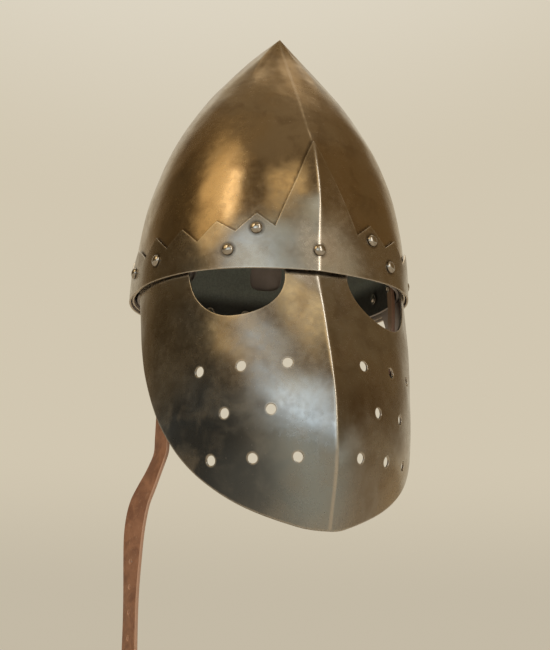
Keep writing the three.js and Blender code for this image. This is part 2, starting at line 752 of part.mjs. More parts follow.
function makeFoldRivet() {
  const depth = 2 * strapLeather + 3 * layerGap;
  const head = foldHeadShares.map(([r, h]) => [foldHeadRadius * r, foldHeadHeight * h]);
  const tail = head.map(([r, h]) => [r, -depth - h]).reverse();
  const points = [...tail, [foldShankRadius, -depth], [foldShankRadius, 0], ...head];
  const spot = foldRivetSpot();
  return placed(latheSolid(points, rivetSides), spot.point, spot.direction);
}

// Round rod along a list of points, closed into a loop or capped at its two ends
function rodAlong(points, radius, sides, closed, normal) {
  const positions = [];
  const indices = [];
  const n = points.length;
  points.forEach((p, i) => {
    const before = closed ? points[(i + n - 1) % n] : points[Math.max(i - 1, 0)];
    const after = closed ? points[(i + 1) % n] : points[Math.min(i + 1, n - 1)];
    const ahead = after.clone().sub(before).normalize();
    const across = normal.clone().cross(ahead).normalize();
    for (let k = 0; k < sides; k += 1) {
      const turn = 2 * Math.PI * k / sides;
      const rim = across.clone().multiplyScalar(Math.cos(turn)).addScaledVector(normal, Math.sin(turn));
      positions.push(...p.clone().addScaledVector(rim, radius).toArray());
    }
  });
  const spans = closed ? n : n - 1;
  for (let i = 0; i < spans; i += 1) {
    for (let k = 0; k < sides; k += 1) {
      const a = i * sides + k;
      const b = i * sides + (k + 1) % sides;
      const c = ((i + 1) % n) * sides + (k + 1) % sides;
      const d = ((i + 1) % n) * sides + k;
      indices.push(a, b, c, a, c, d);
    }
  }
  if (!closed) {
    for (let k = 1; k < sides - 1; k += 1) {
      indices.push(0, k + 1, k);
      const e = (n - 1) * sides;
      indices.push(e, e + k, e + k + 1);
    }
  }
  return toSolid(geometryFrom(positions, indices));
}

// Buckle frame: a rounded loop of rod hanging below the strap's fold
function makeBuckleFrame() {
  const { rodCentre, level, across, plumb } = buckleSeat();
  const halfWidth = buckleWidth / 2 - buckleRodRadius - buckleCorner;
  const far = buckleLength - 2 * buckleRodRadius - buckleCorner;
  const corners = [
    [-halfWidth, buckleCorner], [halfWidth, buckleCorner], [halfWidth, far], [-halfWidth, far],
  ];
  const points = [];
  corners.forEach(([sideways, drop], i) => {
    for (let k = 0; k <= cornerSteps; k += 1) {
      const turn = Math.PI / 2 * (i + 2 + k / cornerSteps);
      points.push(rodCentre.clone()
        .addScaledVector(across, sideways + buckleCorner * Math.cos(turn))
        .addScaledVector(plumb, drop + buckleCorner * Math.sin(turn)));
    }
  });
  return rodAlong(points, buckleRodRadius, rodSides, true, level);
}

// Prong: a ring of wire round the rod and a pin that rests on the far side of the frame
function makeProng() {
  const { rodCentre, level, across, plumb } = buckleSeat();
  const ringRadius = buckleRodRadius + layerGap + prongRadius;
  const points = [];
  for (let k = 0; k <= bendSteps; k += 1) {
    const turn = THREE.MathUtils.degToRad(prongRingStart + prongRingTurn * k / bendSteps);
    points.push(rodCentre.clone()
      .addScaledVector(level, -ringRadius * Math.sin(turn))
      .addScaledVector(plumb, -ringRadius * Math.cos(turn)));
  }
  const last = points.at(-1);
  const tip = rodCentre.clone()
    .addScaledVector(plumb, buckleLength - layerGap)
    .addScaledVector(level, ringRadius);
  pinShares.forEach((share) => points.push(last.clone().lerp(tip, share)));
  return rodAlong(points, prongRadius, prongSides, false, across);
}

const helmet = new THREE.Group();
helmet.name = 'helmet';

function addPiece(name, geometry, look) {
  const piece = new THREE.Mesh(geometry, new THREE.MeshStandardMaterial(look));
  piece.name = name;
  geometry.computeVertexNormals();
  helmet.add(piece);
}

function drilled(solid, spots) {
  return spots.reduce((rest, spot) => rest.subtract(
    drillAt(spot.point, spot.direction, rivetShankRadius + layerGap, drillSides),
  ), solid);
}

const spots = rivetSpots();
addPiece('skull', toGeometry(drilled(makeSkull(), spots)), steel);
addPiece('brow_band', toGeometry(drilled(makeBand(), spots)), steel);
addPiece('face_plate', toGeometry(drilled(makePlate(), spots)), steel);
addPiece('liner', toGeometry(drilled(makeLiner(), spots)), darkLeather);
addPiece('liner_lace', toGeometry(laceSolid(laceRadius)), laceLeather);
spots.forEach((spot) => {
  const rivet = placed(latheSolid(rivetProfile(spot.stack), rivetSides), spot.point, spot.direction);
  addPiece(spot.name, rivet, rivetSteel);
  const washer = placed(latheSolid(washerProfile(spot.stack), rivetSides), spot.point, spot.direction);
  addPiece(spot.name.replace('rivet', 'washer'), washer, rivetSteel);
});
addPiece('chin_strap_right', toGeometry(makeHoledStrap()), brownLeather);
addPiece('buckle_strap_left', toGeometry(makeBuckleStrap()), brownLeather);
addPiece('fold_rivet', makeFoldRivet(), rivetSteel);
addPiece('buckle_frame', toGeometry(makeBuckleFrame()), rivetSteel);
addPiece('buckle_prong', toGeometry(makeProng()), rivetSteel);

export default helmet;
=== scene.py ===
import json
import math
from collections import namedtuple

import bmesh
import bpy
import numpy as np
from mathutils import Matrix, Vector
from mathutils.geometry import delaunay_2d_cdt


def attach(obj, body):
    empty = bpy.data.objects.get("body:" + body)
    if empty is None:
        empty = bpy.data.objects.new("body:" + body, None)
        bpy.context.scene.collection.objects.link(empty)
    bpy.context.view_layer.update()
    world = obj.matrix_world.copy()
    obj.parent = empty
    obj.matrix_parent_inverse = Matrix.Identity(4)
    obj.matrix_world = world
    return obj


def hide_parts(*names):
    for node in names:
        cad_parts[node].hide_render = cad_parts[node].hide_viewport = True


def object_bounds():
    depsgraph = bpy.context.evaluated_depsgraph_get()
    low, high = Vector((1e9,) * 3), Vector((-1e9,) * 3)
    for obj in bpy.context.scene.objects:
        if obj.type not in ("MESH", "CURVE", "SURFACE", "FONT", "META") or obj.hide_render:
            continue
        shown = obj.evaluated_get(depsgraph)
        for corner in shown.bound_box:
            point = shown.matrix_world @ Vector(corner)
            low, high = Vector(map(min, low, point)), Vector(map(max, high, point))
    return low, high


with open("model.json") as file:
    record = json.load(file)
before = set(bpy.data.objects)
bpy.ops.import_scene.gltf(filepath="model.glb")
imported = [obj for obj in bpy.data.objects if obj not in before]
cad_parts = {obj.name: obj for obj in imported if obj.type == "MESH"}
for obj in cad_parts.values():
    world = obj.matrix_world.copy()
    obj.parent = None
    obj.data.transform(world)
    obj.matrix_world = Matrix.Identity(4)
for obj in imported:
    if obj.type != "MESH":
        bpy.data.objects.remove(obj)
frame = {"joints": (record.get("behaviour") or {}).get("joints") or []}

# Lengths are in millimetres until a mesh is made. They repeat the named sizes of the CAD source.
MM = 0.001
SKULL_HALF_WIDTH = 104
SKULL_HALF_LENGTH = 114
SKULL_HEIGHT = 216.5
SKULL_RIM_RECESS = 1.5
PLAN_POWER = 2.27
SIDE_POWER, FRONT_POWER, REAR_POWER = 2.54, 2.12, 1.82
SIDE_FULLNESS, FRONT_FULLNESS, REAR_FULLNESS = -0.087, 0.022, -0.075
TIP_LEAN, TIP_LEAN_POWER = 15, 10
RIM_KEEL, CHIN_KEEL, KEEL_WIDTH = 2.5, 12.8, 13.5
# The crease's edge is rounded this much
CREASE_ROUND = 1.3
POINT_DROP_RATIO = 1.5

SKULL_SHEET, BAND_SHEET, PLATE_SHEET = 1.6, 1.5, 1.8
LINER_LEATHER, STRAP_LEATHER = 2.2, 2.6
LAYER_GAP, BAND_PLAY, LINER_PLAY, FACET_PLAY = 0.3, 0.75, 0.95, 0.7

TRIANGLE_HEIGHT, TRIANGLE_FOOT_ANGLE, TRIANGLE_FOOT_HEIGHT = 104, 15.2, 31.3
FIRST_TOOTH_ANGLE, FIRST_TOOTH_HEIGHT = 22.7, 41.4
SECOND_TOOTH_HEIGHT, TOOTH_HEIGHT = 36.2, 33.6
FIRST_NOTCH_HEIGHT, NOTCH_HEIGHT = 27.4, 21.6
TOOTH_PITCH_COUNT = 9
TOOTH_PITCH = (180 - FIRST_TOOTH_ANGLE) / TOOTH_PITCH_COUNT
BAND_SEAM = 0.8

PLATE_DROP, PLATE_TAB_HEIGHT, PLATE_TAB_ANGLE = 188.3, 26, 101.4
ASKEW = math.tan(math.radians(2.23))
CHIN_POWER = 1.3
EYE_INNER, EYE_OUTER, EYE_LOWEST, EYE_DEPTH = 11.1, 54, 36, 36
BREATH_RADIUS = 3.9

RIVET_RADIUS, RIVET_HEIGHT, SHANK_RADIUS = 4.4, 2.7, 1.6
TAIL_RADIUS, TAIL_HEIGHT = 2.7, 1.1
WASHER_RADIUS, WASHER_SHEET = 4.3, 0.8
RIVET_ROW = 15.2
# What the rounded rims take off the bores, breath holes and strap holes
BORE_RIM, BREATH_RIM, STRAP_HOLE_RIM = 0.2, 0.3, 0.5
SHANK_BORE = SHANK_RADIUS + LAYER_GAP + BORE_RIM

LINER_FOOT, LINER_BREAK, LINER_CROWN = 4, 50, 131
LINER_PEEL, LINER_PEEL_POWER = 33, 1.3
TONGUE_COUNT, TONGUE_GAP, TONGUE_TIP_GAP = 9, 29, 3
GAP_FOOT_POWER = 3.5
# Middle of one of the gaps between the tongues, and how far round one tongue goes
TONGUE_GAP_ANGLE, TONGUE_PITCH = 164, 40
# The liner is laid out from the middle of a tongue
LINER_START = TONGUE_GAP_ANGLE - 8.5 * TONGUE_PITCH
LACE_RADIUS, LACE_DROP, LACE_PLAY = 1.4, 9, 0.5

STRAP_WIDTH, STRAP_STAND_OFF, STRAP_ANGLE = 20, 0.9, 73
STRAP_TOP_REACH, STRAP_BEND = 11, 16
# The bend from the rivet's lean to plumb is eased over this much on either side
BEND_EASE = 6.0
HOLED_STRAP_LENGTH, HOLED_STRAP_SWING, HOLED_STRAP_TURN = 352, 20.9, 13
STRAP_HOLE_RADIUS, STRAP_HOLE_PITCH, STRAP_HOLE_COUNT, LAST_HOLE = 1.7, 18, 6, 27
BUCKLE_STRAP_DROP, FOLD_BACK = 82, 30
# How far the straps' rounded edges stand past their flat faces
HOLED_STRAP_EDGE, BUCKLE_STRAP_EDGE = 0.75, 0.6
ROD_RADIUS, BUCKLE_WIDTH, BUCKLE_LENGTH, BUCKLE_CORNER = 1.5, 28, 24, 2.2
PRONG_RADIUS, SLOT_LENGTH, SLOT_WIDTH, SLOT_DROP = 1.1, 11, 4, 0.5
RING_START, RING_TURN = -50, 290
FOLD_SHANK, FOLD_HEAD_RADIUS, FOLD_HEAD_HEIGHT, FOLD_RIVET_SHARE = 1.1, 2.6, 1.2, 0.72

# Down the plate: [share of its drop, width, flare forwards, length, form towards the chin's, crease]
PLATE_SECTIONS = [
    [0, 1, 0, 1, 0, 0],
    [0.25, 1.03, 0.029, 1.079, 0.3, 0.31],
    [0.5, 1.032, 0.044, 1.152, 0.48, 0.57],
    [0.75, 1.016, 0.052, 1.116, 0.62, 0.82],
    [1, 0.988, 0.049, 0.962, 1, 1],
]
# Up the skull: [share of its height, share of the rim's crease]
SKULL_KEEL = [
    [0, 1], [0.1, 0.9], [0.18, 1.6], [0.27, 2.7], [0.38, 3.1], [0.48, 3],
    [0.55, 1.5], [0.65, 0.6], [0.8, 0.2], [1, 0],
]
# Side edge of the plate: [share of the half length backwards, share of the drop upwards]
PLATE_OUTLINE = [
    [-1.12, -1], [-0.99, -0.98], [-0.8, -0.902], [-0.575, -0.743], [-0.346, -0.552],
    [-0.198, -0.386], [-0.118, -0.272], [-0.015, -0.089], [0.085, 0.05], [0.15, 0.16],
]
# Breath holes: [degrees from the crease, share of the drop]
BREATH_ROWS = [
    [17.2, 0.376], [34.6, 0.379], [51.2, 0.385], [25.4, 0.551], [42.5, 0.554],
    [16.5, 0.731], [33, 0.728], [48.4, 0.725],
]
# The lace along one tongue: [share of its pitch, side of the leather]
LACE_WAVE = [[0, 1], [0.14, 1], [0.25, 0], [0.36, -1], [0.5, -1], [0.64, -1], [0.75, 0], [0.86, 1]]
# Down the long strap: [share of its length, share of its swing outwards, share of its turn]
STRAP_SET = [
    [0, 0, 0], [0.3, 0.01, 0], [0.385, 0.03, 0], [0.42, 0.045, 0], [0.447, 0.2, 0.05],
    [0.47, 0.36, 0.2], [0.5, 0.58, 0.6], [0.53, 0.79, 0.85], [0.562, 0.91, 1], [0.6, 0.98, 0.95],
    [0.65, 1, 0.7], [0.72, 1, 0.3], [0.8, 0.98, 0.1], [1, 0.93, 0],
]
# Rivets of one side: (name, degrees from the front, height)
SIDE_RIVETS = [
    ("tooth", FIRST_TOOTH_ANGLE, 29.9), ("brow", 34.3, 13.7), ("strap", STRAP_ANGLE, RIVET_ROW),
    ("temple", 94.7, 16.8), ("nape", 122, RIVET_ROW), ("rear", 147, RIVET_ROW),
    ("seam", 173, RIVET_ROW),
]
LINER_INSET_FRONT = SKULL_SHEET + LAYER_GAP + PLATE_SHEET + LINER_PLAY
LINER_INSET_REAR = SKULL_SHEET + LINER_PLAY


def facing(azimuth, elevation):
    """Way from the helmet's middle, in degrees from the front towards +X and degrees up."""
    azimuth, elevation = math.radians(azimuth), math.radians(elevation)
    level = math.cos(elevation)
    return Vector((math.sin(azimuth) * level, -math.cos(azimuth) * level, math.sin(elevation)))


# Camera: the viewing angle, distance and framing fitted to the photograph
def make_camera():
    azimuth, elevation, roll = -18.303, -13.098, math.radians(1.482)
    distance, lens, shift = 1.3255, 93.06, (0.0120, -0.0320)
    back, level = facing(azimuth, elevation), facing(azimuth + 90, 0)
    up = back.cross(level)
    right = math.cos(roll) * level + math.sin(roll) * up
    up = math.cos(roll) * up - math.sin(roll) * level
    data = bpy.data.cameras.new("camera")
    data.lens = lens
    data.sensor_width = 36
    data.shift_x, data.shift_y = shift
    camera = bpy.data.objects.new("camera", data)
    turn = Matrix((right, up, back)).transposed().to_4x4()
    camera.matrix_world = Matrix.Translation(back * distance) @ turn
    bpy.context.scene.collection.objects.link(camera)
    bpy.context.scene.camera = camera


make_camera()
cad_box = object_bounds()


# Forms, the same as the CAD source's
def along(rows, share, column):
    rows = np.array(rows, float)
    x, y = rows[:, 0], rows[:, column]
    at = np.clip(share, x[0], x[-1])
    i = np.clip(np.searchsorted(x, at, side="left") - 1, 0, len(x) - 2)
    before = np.maximum(np.arange(len(x)) - 1, 0)
    after = np.minimum(np.arange(len(x)) + 1, len(x) - 1)
    slope = (y[after] - y[before]) / (x[after] - x[before])
    width = x[i + 1] - x[i]
    u = (at - x[i]) / width
    rise = y[i + 1] - y[i]
    early = slope[i] * width - rise
    late = rise - slope[i + 1] * width
    return y[i] + u * rise + u * (1 - u) * ((1 - u) * early + u * late)


def signed_power(value, power):
    return np.sign(value) * np.abs(value) ** power


def profile(rise, fullness, power):
    return (1 - rise ** power) * (1 + fullness * rise * (1 - rise))


def crease_fall(x):
    rounded = np.sqrt(x * x + CREASE_ROUND ** 2) - CREASE_ROUND
    return np.exp(-rounded / KEEL_WIDTH)


# Shallow unevenness left by the hammer, in millimetres
DENT_WAVES = [
    (5, 41, 0.3, 0.10), (8, 67, 1.9, 0.12), (11, 90, 4.2, 0.10), (13, 58, 2.6, 0.07),
    (17, 37, 5.1, 0.05), (21, 49, 0.9, 0.04), (26, 31, 3.3, 0.025), (7, 29, 5.7, 0.05),
]


def dents(turn, z):
    total = 0
    for waves, length, phase, depth in DENT_WAVES:
        total = total + depth * np.sin(waves * turn + phase) * np.cos(2 * math.pi * z / length + 2 * phase)
    return total


def round_point(angle, z, inset, crease_share=1.0):
    turn = np.radians(angle)
    side, fore = np.sin(turn), np.cos(turn)
    inset = inset + dents(turn, z)
    rise = np.clip(z / (SKULL_HEIGHT - inset * POINT_DROP_RATIO), 0, 1)
    front = profile(rise, FRONT_FULLNESS, FRONT_POWER)
    rear = profile(rise, REAR_FULLNESS, REAR_POWER)
    reach = np.where(fore > 0, front, rear)
    x = (SKULL_HALF_WIDTH - inset) * profile(rise, SIDE_FULLNESS, SIDE_POWER)
    x = x * signed_power(side, 2 / PLAN_POWER)
    crease = crease_share * RIM_KEEL * along(SKULL_KEEL, rise, 1)
    keel = np.where(fore > 0, crease * crease_fall(x), 0)
    y = -(SKULL_HALF_LENGTH - inset) * reach * signed_power(fore, 2 / PLAN_POWER)
    y = y - keel - TIP_LEAN * rise ** TIP_LEAN_POWER
    return np.stack([x, y, z + 0 * x], -1)


def face_point(angle, z, inset):
    turn = np.radians(angle)
    side, fore = np.sin(turn), np.cos(turn)
    inset = inset + dents(turn, z)
    depth = -z / PLATE_DROP
    width, flare, length, form, crease = (along(PLATE_SECTIONS, depth, i) for i in range(1, 6))
    power = PLAN_POWER + (CHIN_POWER - PLAN_POWER) * form
    x = (SKULL_HALF_WIDTH - inset) * width * signed_power(side, 2 / power)
    keel = np.where(fore > 0, (RIM_KEEL + (CHIN_KEEL - RIM_KEEL) * crease) * crease_fall(x), 0)
    reach = (SKULL_HALF_LENGTH - inset) * length
    y = -PLATE_DROP * flare - keel - reach * signed_power(fore, 2 / power)
    return np.stack([x - z * ASKEW, y, z + 0 * x], -1)


def form_point(angle, z, inset):
    skull, plate = round_point(angle, np.maximum(z, 0), inset), face_point(angle, np.minimum(z, 0), inset)
    return np.where((np.asarray(z) >= 0)[..., None], skull, plate)


def liner_point(angle, z, inset):
    angle = (np.asarray(angle, float) + 180) % 360 - 180
    past = np.clip((np.abs(angle) - PLATE_TAB_ANGLE) / TOOTH_PITCH, 0, 1)
    base = LINER_INSET_FRONT + (LINER_INSET_REAR - LINER_INSET_FRONT) * past
    above = np.maximum(z - LINER_BREAK, 0) / (LINER_CROWN - LINER_BREAK)
    return round_point(angle, z, base + LINER_PEEL * above ** LINER_PEEL_POWER + inset, 0)


def unit(v):
    v = np.asarray(v, float)
    return v / np.maximum(np.linalg.norm(v, axis=-1, keepdims=True), 1e-12)


# Steps in degrees and millimetres over which a surface's outward way is taken
FINE_STEP, SMOOTH_STEP = (0.05, 0.1), (0.5, 0.5)


def outward(surface, u, v, inset=0.0, step=FINE_STEP):
    east = surface(u + step[0], v, inset) - surface(u - step[0], v, inset)
    up = surface(u, v + step[1], inset) - surface(u, v - step[1], inset)
    return unit(np.cross(east, up))


# A cut sheet: a surface of (u, v, inset), trimmed by closed loops in (u, v)
def loop_segments(loops):
    return np.concatenate([np.stack([loop, np.roll(loop, -1, 0)], 1) for loop in loops])


def in_loops(points, loops):
    segments = loop_segments(loops)
    inside = np.zeros(len(points), bool)
    for (x0, y0), (x1, y1) in segments:
        if y0 == y1:
            continue
        crosses = (y0 > points[:, 1]) != (y1 > points[:, 1])
        inside ^= crosses & (points[:, 0] < (x1 - x0) * (points[:, 1] - y0) / (y1 - y0) + x0)
    return inside


def loop_distance(points, loops, stretch):
    scale = np.array([stretch, 1.0])
    nearest = np.full(len(points), 1e9)
    p = points * scale
    for a, b in loop_segments(loops) * scale:
        d = b - a
        length = max(d @ d, 1e-12)
        t = np.clip((p - a) @ d / length, 0, 1)
        nearest = np.minimum(nearest, np.hypot(*(p - a - t[:, None] * d).T))
    return nearest


def triangulate(columns, rows, loops, stretch, clearance):
    grid = np.stack(np.meshgrid(columns, rows), -1).reshape(-1, 2)
    grid = grid[in_loops(grid, loops)]
    grid = grid[loop_distance(grid, loops, stretch) > clearance]
    points = np.concatenate([*loops, grid])
    edges, first = [], 0
    for loop in loops:
        edges += [(first + i, first + (i + 1) % len(loop)) for i in range(len(loop))]
        first += len(loop)
    flat = [Vector((u * stretch, v)) for u, v in points]
    verts, _, faces = delaunay_2d_cdt(flat, edges, [], 0, 1e-5)[:3]
    uv = np.array([(p[0] / stretch, p[1]) for p in verts])
    tris = np.array([f for f in faces if len(f) == 3])
    middle = uv[tris].mean(1)
    tris = tris[in_loops(middle, loops)]
    a, b, c = uv[tris[:, 0]], uv[tris[:, 1]], uv[tris[:, 2]]
    area = (b[:, 0] - a[:, 0]) * (c[:, 1] - a[:, 1]) - (b[:, 1] - a[:, 1]) * (c[:, 0] - a[:, 0])
    tris[area < 0] = tris[area < 0][:, ::-1]
    tris = tris[np.abs(area) > 1e-9]
    return uv, tris


def weld(uv, tris, period):
    low = uv[:, 0].min()
    key = {round(v, 4): i for i, (u, v) in enumerate(uv) if abs(u - low) < 1e-4}
    remap = np.arange(len(uv))
    for i, (u, v) in enumerate(uv):
        if abs(u - low - period) < 1e-4:
            remap[i] = key[round(v, 4)]
    return remap[tris]


def rim_of(tris):
    edges = np.concatenate([tris[:, [0, 1]], tris[:, [1, 2]], tris[:, [2, 0]]])
    known = {(a, b) for a, b in edges}
    return np.array([(a, b) for a, b in known if (b, a) not in known])


EDGE_STEPS = 3
# Stands for out of reach of a crease, seam or rim
FAR = 99.0
# Millimetres along a sheet for one degree round the helmet
SHEET_STRETCH = 1.9


def rim_rings(outer, inner, normal, rim, edge):
    """The rim's vertices, and rings of (points, normals) that round its edge from face to face."""
    after, before = dict(rim), {b: a for a, b in rim}
    verts = np.array(sorted(after))
    here, nrm = outer[verts], normal[verts]
    # At a corner the edge's outward way is shared between its two sides
    one = unit(np.cross(unit(outer[[after[p] for p in verts]] - here), nrm))
    two = unit(np.cross(unit(here - outer[[before[p] for p in verts]]), nrm))
    side = unit(one + two)
    rings = []
    for face, way, steps in ((outer, 1, range(1, EDGE_STEPS + 1)), (inner, -1, range(EDGE_STEPS, 0, -1))):
        for k in steps:
            turn = math.pi / 2 * k / EDGE_STEPS
            off = side * math.sin(turn) - way * nrm * (1 - math.cos(turn))
            rings.append((face[verts] + edge * off, side * math.sin(turn) + way * nrm * math.cos(turn)))
    return verts, rings


def make_sheet(name, surface, columns, rows, loops, insets, stretch=SHEET_STRETCH, spacing=2.0, edge=0.35,
               period=0, peak=None, seams=()):
    """Sheet between two insets of a surface, cut by loops. A period closes it round, a peak over the top."""
    loops = [np.asarray(loop, float) for loop in loops]
    uv, tris = triangulate(columns, rows, loops, stretch, 0.45 * spacing)
    rim_distance = loop_distance(uv, loops, stretch)
    if period:
        tris = weld(uv, tris, period)
    if peak is not None:
        top = uv[:, 1].max() - 1e-6
        ends = [(a, b) for a, b in rim_of(tris) if uv[a, 1] >= top and uv[b, 1] >= top]
        uv = np.concatenate([uv, [[0, peak]]])
        rim_distance = np.append(rim_distance, FAR)
        tris = np.concatenate([tris, [(b, a, len(uv) - 1) for a, b in ends]])
    used, tris = np.unique(tris, return_inverse=True)
    tris = tris.reshape(-1, 3)
    uv, rim_distance = uv[used], rim_distance[used]
    u, v = uv.T
    outer, inner = (surface(u, v, inset) for inset in insets)
    normal, inward = (way * outward(surface, u, v, inset) for way, inset in zip((1, -1), insets))
    if peak is not None:
        normal[-1], inward[-1] = (0, 0, 1), (0, 0, -1)
    rim = rim_of(tris)
    verts, rings = rim_rings(outer, inner, normal, rim, edge)
    n, m = len(uv), len(verts)
    start = n + m * len(rings)
    levels = [rim, *(np.searchsorted(verts, rim) + n + m * k for k in range(len(rings))), rim + start]
    quads = [np.concatenate([low[:, ::-1], high], 1) for low, high in zip(levels, levels[1:])]
    faces = [face for block in [tris, *quads, tris[:, ::-1] + start] for face in block.tolist()]
    obj = mesh_object(name, np.concatenate([outer, *(ring for ring, _ in rings), inner]), faces,
                      np.concatenate([normal, *(ring_normal for _, ring_normal in rings), inward]))

    def attribute(name, on_faces, on_rim):
        values = np.concatenate([on_faces, *[on_rim] * len(rings), on_faces])
        add_attribute(obj, name, values)

    attribute("edge_share", np.zeros(n), np.ones(m))
    attribute("rim_distance", rim_distance, np.zeros(m))
    middle = surface(0 * u, v, insets[0])[:, 0]
    from_crease = np.where(np.abs(u) < 90, np.abs(outer[:, 0] - middle), FAR)
    attribute("crease_distance", from_crease, from_crease[verts])
    from_seam = loop_distance(uv, seams, stretch) if len(seams) else np.full(n, FAR)
    attribute("seam_distance", from_seam, from_seam[verts])
    add_attribute(obj, "back_share", np.repeat([0, 1], [start, n]))
    return obj


def add_attribute(obj, name, values):
    attribute = obj.data.attributes.new(name, "FLOAT", "POINT")
    attribute.data.foreach_set("value", np.asarray(values, np.float32))


def mesh_object(name, positions, faces, normals=None):
    mesh = bpy.data.meshes.new(name)
    mesh.from_pydata((positions * MM).tolist(), [], faces)
    mesh.update()
    mesh.shade_smooth()
    if normals is not None:
        mesh.normals_split_custom_set_from_vertices(unit(normals).tolist())
    obj = bpy.data.objects.new(name, mesh)
    bpy.context.scene.collection.objects.link(obj)
    return obj


def settle(obj, material, body, slot, *nodes):
    obj.data.materials.append(material)
    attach(obj, body)
    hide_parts(*nodes)


def circle(down, radius, sides):
    """Circle in a strap's own (across, down), on its middle line."""
    turn = np.linspace(0, 2 * math.pi, sides, endpoint=False)
    return np.stack([radius * np.cos(turn), down + radius * np.sin(turn)], -1)


def run(start, end, pitch, stretch=SHEET_STRETCH):
    """Points from start up to but without end, about pitch apart."""
    start, end = np.asarray(start, float), np.asarray(end, float)
    length = np.hypot((end - start)[0] * stretch, (end - start)[1])
    count = max(int(round(length / pitch)), 1)
    return start + (end - start) * (np.arange(count) / count)[:, None]


def polyline(corners, pitch, stretch=SHEET_STRETCH):
    ends = [*corners[1:], corners[0]]
    return np.concatenate([run(start, end, pitch, stretch) for start, end in zip(corners, ends)])


def spot(surface, angle, z, inset=0.0):
    return surface(np.array([float(angle)]), np.array([float(z)]), inset)[0]


def way_out(surface, angle, z):
    return outward(surface, np.array([float(angle)]), np.array([float(z)]), step=SMOOTH_STEP)[0]


def hole_around(surface, angle, z, radius, sides=28):
    """Loop in (angle, z) that is a circle of that radius, seen along the surface's outward way."""
    point, step = spot(surface, angle, z), 0.05
    east = (spot(surface, angle + step, z) - point) / step
    up = (spot(surface, angle, z + step) - point) / step
    a = unit(east)
    b = unit(up - (up @ a) * a)
    basis = np.array([[east @ a, up @ a], [east @ b, up @ b]])
    turn = np.linspace(0, 2 * math.pi, sides, endpoint=False)
    return np.array([angle, z]) + radius * (np.linalg.inv(basis) @ np.stack([np.cos(turn), np.sin(turn)])).T


# Rivets
def rivet_seat(angle, z, strapped):
    """Seat of a rivet's head, its way out, and the depth of what it holds."""
    direction = way_out(round_point, angle, z)
    point = spot(round_point, angle, z, -BAND_PLAY - BAND_SHEET - LAYER_GAP)
    leather = (point - spot(liner_point, angle, z, LINER_LEATHER)) @ direction + FACET_PLAY
    return point, direction, leather + STRAP_STAND_OFF + STRAP_LEATHER if strapped else leather


RIVETS = [("front", 0.0, RIVET_ROW)]
for hand, side_name in ((-1, "right"), (1, "left")):
    RIVETS += [(f"{name}_{side_name}", hand * angle, z) for name, angle, z in SIDE_RIVETS]


RIVET_SPOTS = [(angle, z) for _, angle, z in RIVETS]


def rivet_holes(surface, spots=RIVET_SPOTS, radius=SHANK_BORE, sides=16):
    return [hole_around(surface, angle, z, radius, sides) for angle, z in spots]


# Columns close together beside the crease, in degrees
FINE_COLUMNS = [0, 0.22, 0.45, 0.7, 1, 1.4, 1.9, 2.5, 3.2, 4]


def around(low, high, step):
    """Columns round a sheet, close together beside the crease."""
    fine = [s * a for a in FINE_COLUMNS for s in (-1, 1)]
    coarse = [a for a in np.arange(low, high + step / 2, step) if abs(a) > FINE_COLUMNS[-1] + 0.4]
    return np.array(sorted(set(round(float(a), 4) for a in fine + list(coarse) if low <= a <= high)))


# Sheets
def make_skull():
    columns = around(-180, 180, 1.5)
    rows = np.concatenate([np.arange(2.5, 186, 2.2), np.arange(187, 212, 1.2),
                           [213, 214, 214.8, 215.5, 216, 216.3]])
    low, high = SKULL_RIM_RECESS, 216.4
    inner = columns[(columns > -180) & (columns < 180)]
    outline = np.concatenate([
        [(a, low) for a in [-180, *inner]], [(180, z) for z in [low, *rows]],
        [(a, high) for a in [180, *inner[::-1]]], [(-180, z) for z in [high, *rows[::-1]]],
    ])
    # The skull darkens with grime and painted shade along the brow band's edge
    return make_sheet("skull_sheet", round_point, columns, rows, [outline, *rivet_holes(round_point)],
                      (0, SKULL_SHEET), period=360, peak=SKULL_HEIGHT, seams=[band_outline()])


def band_outline():
    half = [(0, TRIANGLE_HEIGHT), (TRIANGLE_FOOT_ANGLE, TRIANGLE_FOOT_HEIGHT),
            (FIRST_TOOTH_ANGLE, FIRST_TOOTH_HEIGHT)]
    for i in range(1, 2 * TOOTH_PITCH_COUNT + 1):
        peak = SECOND_TOOTH_HEIGHT if i == 2 else TOOTH_HEIGHT
        notch = FIRST_NOTCH_HEIGHT if i == 1 else NOTCH_HEIGHT
        half.append((FIRST_TOOTH_ANGLE + i * TOOTH_PITCH / 2, peak if i % 2 == 0 else notch))
    end = 180 - math.degrees(BAND_SEAM / 2 / SKULL_HALF_LENGTH)
    a, b = half[-2], half[-1]
    cut = (end, a[1] + (b[1] - a[1]) * (end - a[0]) / (b[0] - a[0]))
    right = half[:-1] + [cut]
    teeth = right[::-1] + [(-x, z) for x, z in right[1:]]
    return polyline([(-end, 0), (end, 0), *teeth], 1.6)


def make_band():
    # The band darkens with grime and painted shade round its rivets
    return make_sheet("brow_band_sheet", round_point, around(-179, 179, 1.2), np.arange(0.8, 104, 1.7),
                      [band_outline(), *rivet_holes(round_point)], (-BAND_PLAY - BAND_SHEET, -BAND_PLAY),
                      spacing=1.7, edge=0.4, seams=rivet_holes(round_point, radius=RIVET_RADIUS, sides=24))


def smooth_path(points, closed, steps_between):
    """Points on a smooth curve through the given ones, so many steps between each two."""
    n = len(points)
    made = []
    for i in range(n if closed else n - 1):
        near = [k % n if closed else min(max(k, 0), n - 1) for k in (i - 1, i, i + 1, i + 2)]
        p0, p1, p2, p3 = points[near]
        steps = steps_between(p1, p2)
        for t in np.arange(steps) / steps:
            made.append(0.5 * (2 * p1 + (p2 - p0) * t + (2 * p0 - 5 * p1 + 4 * p2 - p3) * t * t
                               + (3 * p1 - p0 - 3 * p2 + p3) * t ** 3))
    return np.array(made if closed else [*made, points[-1]])


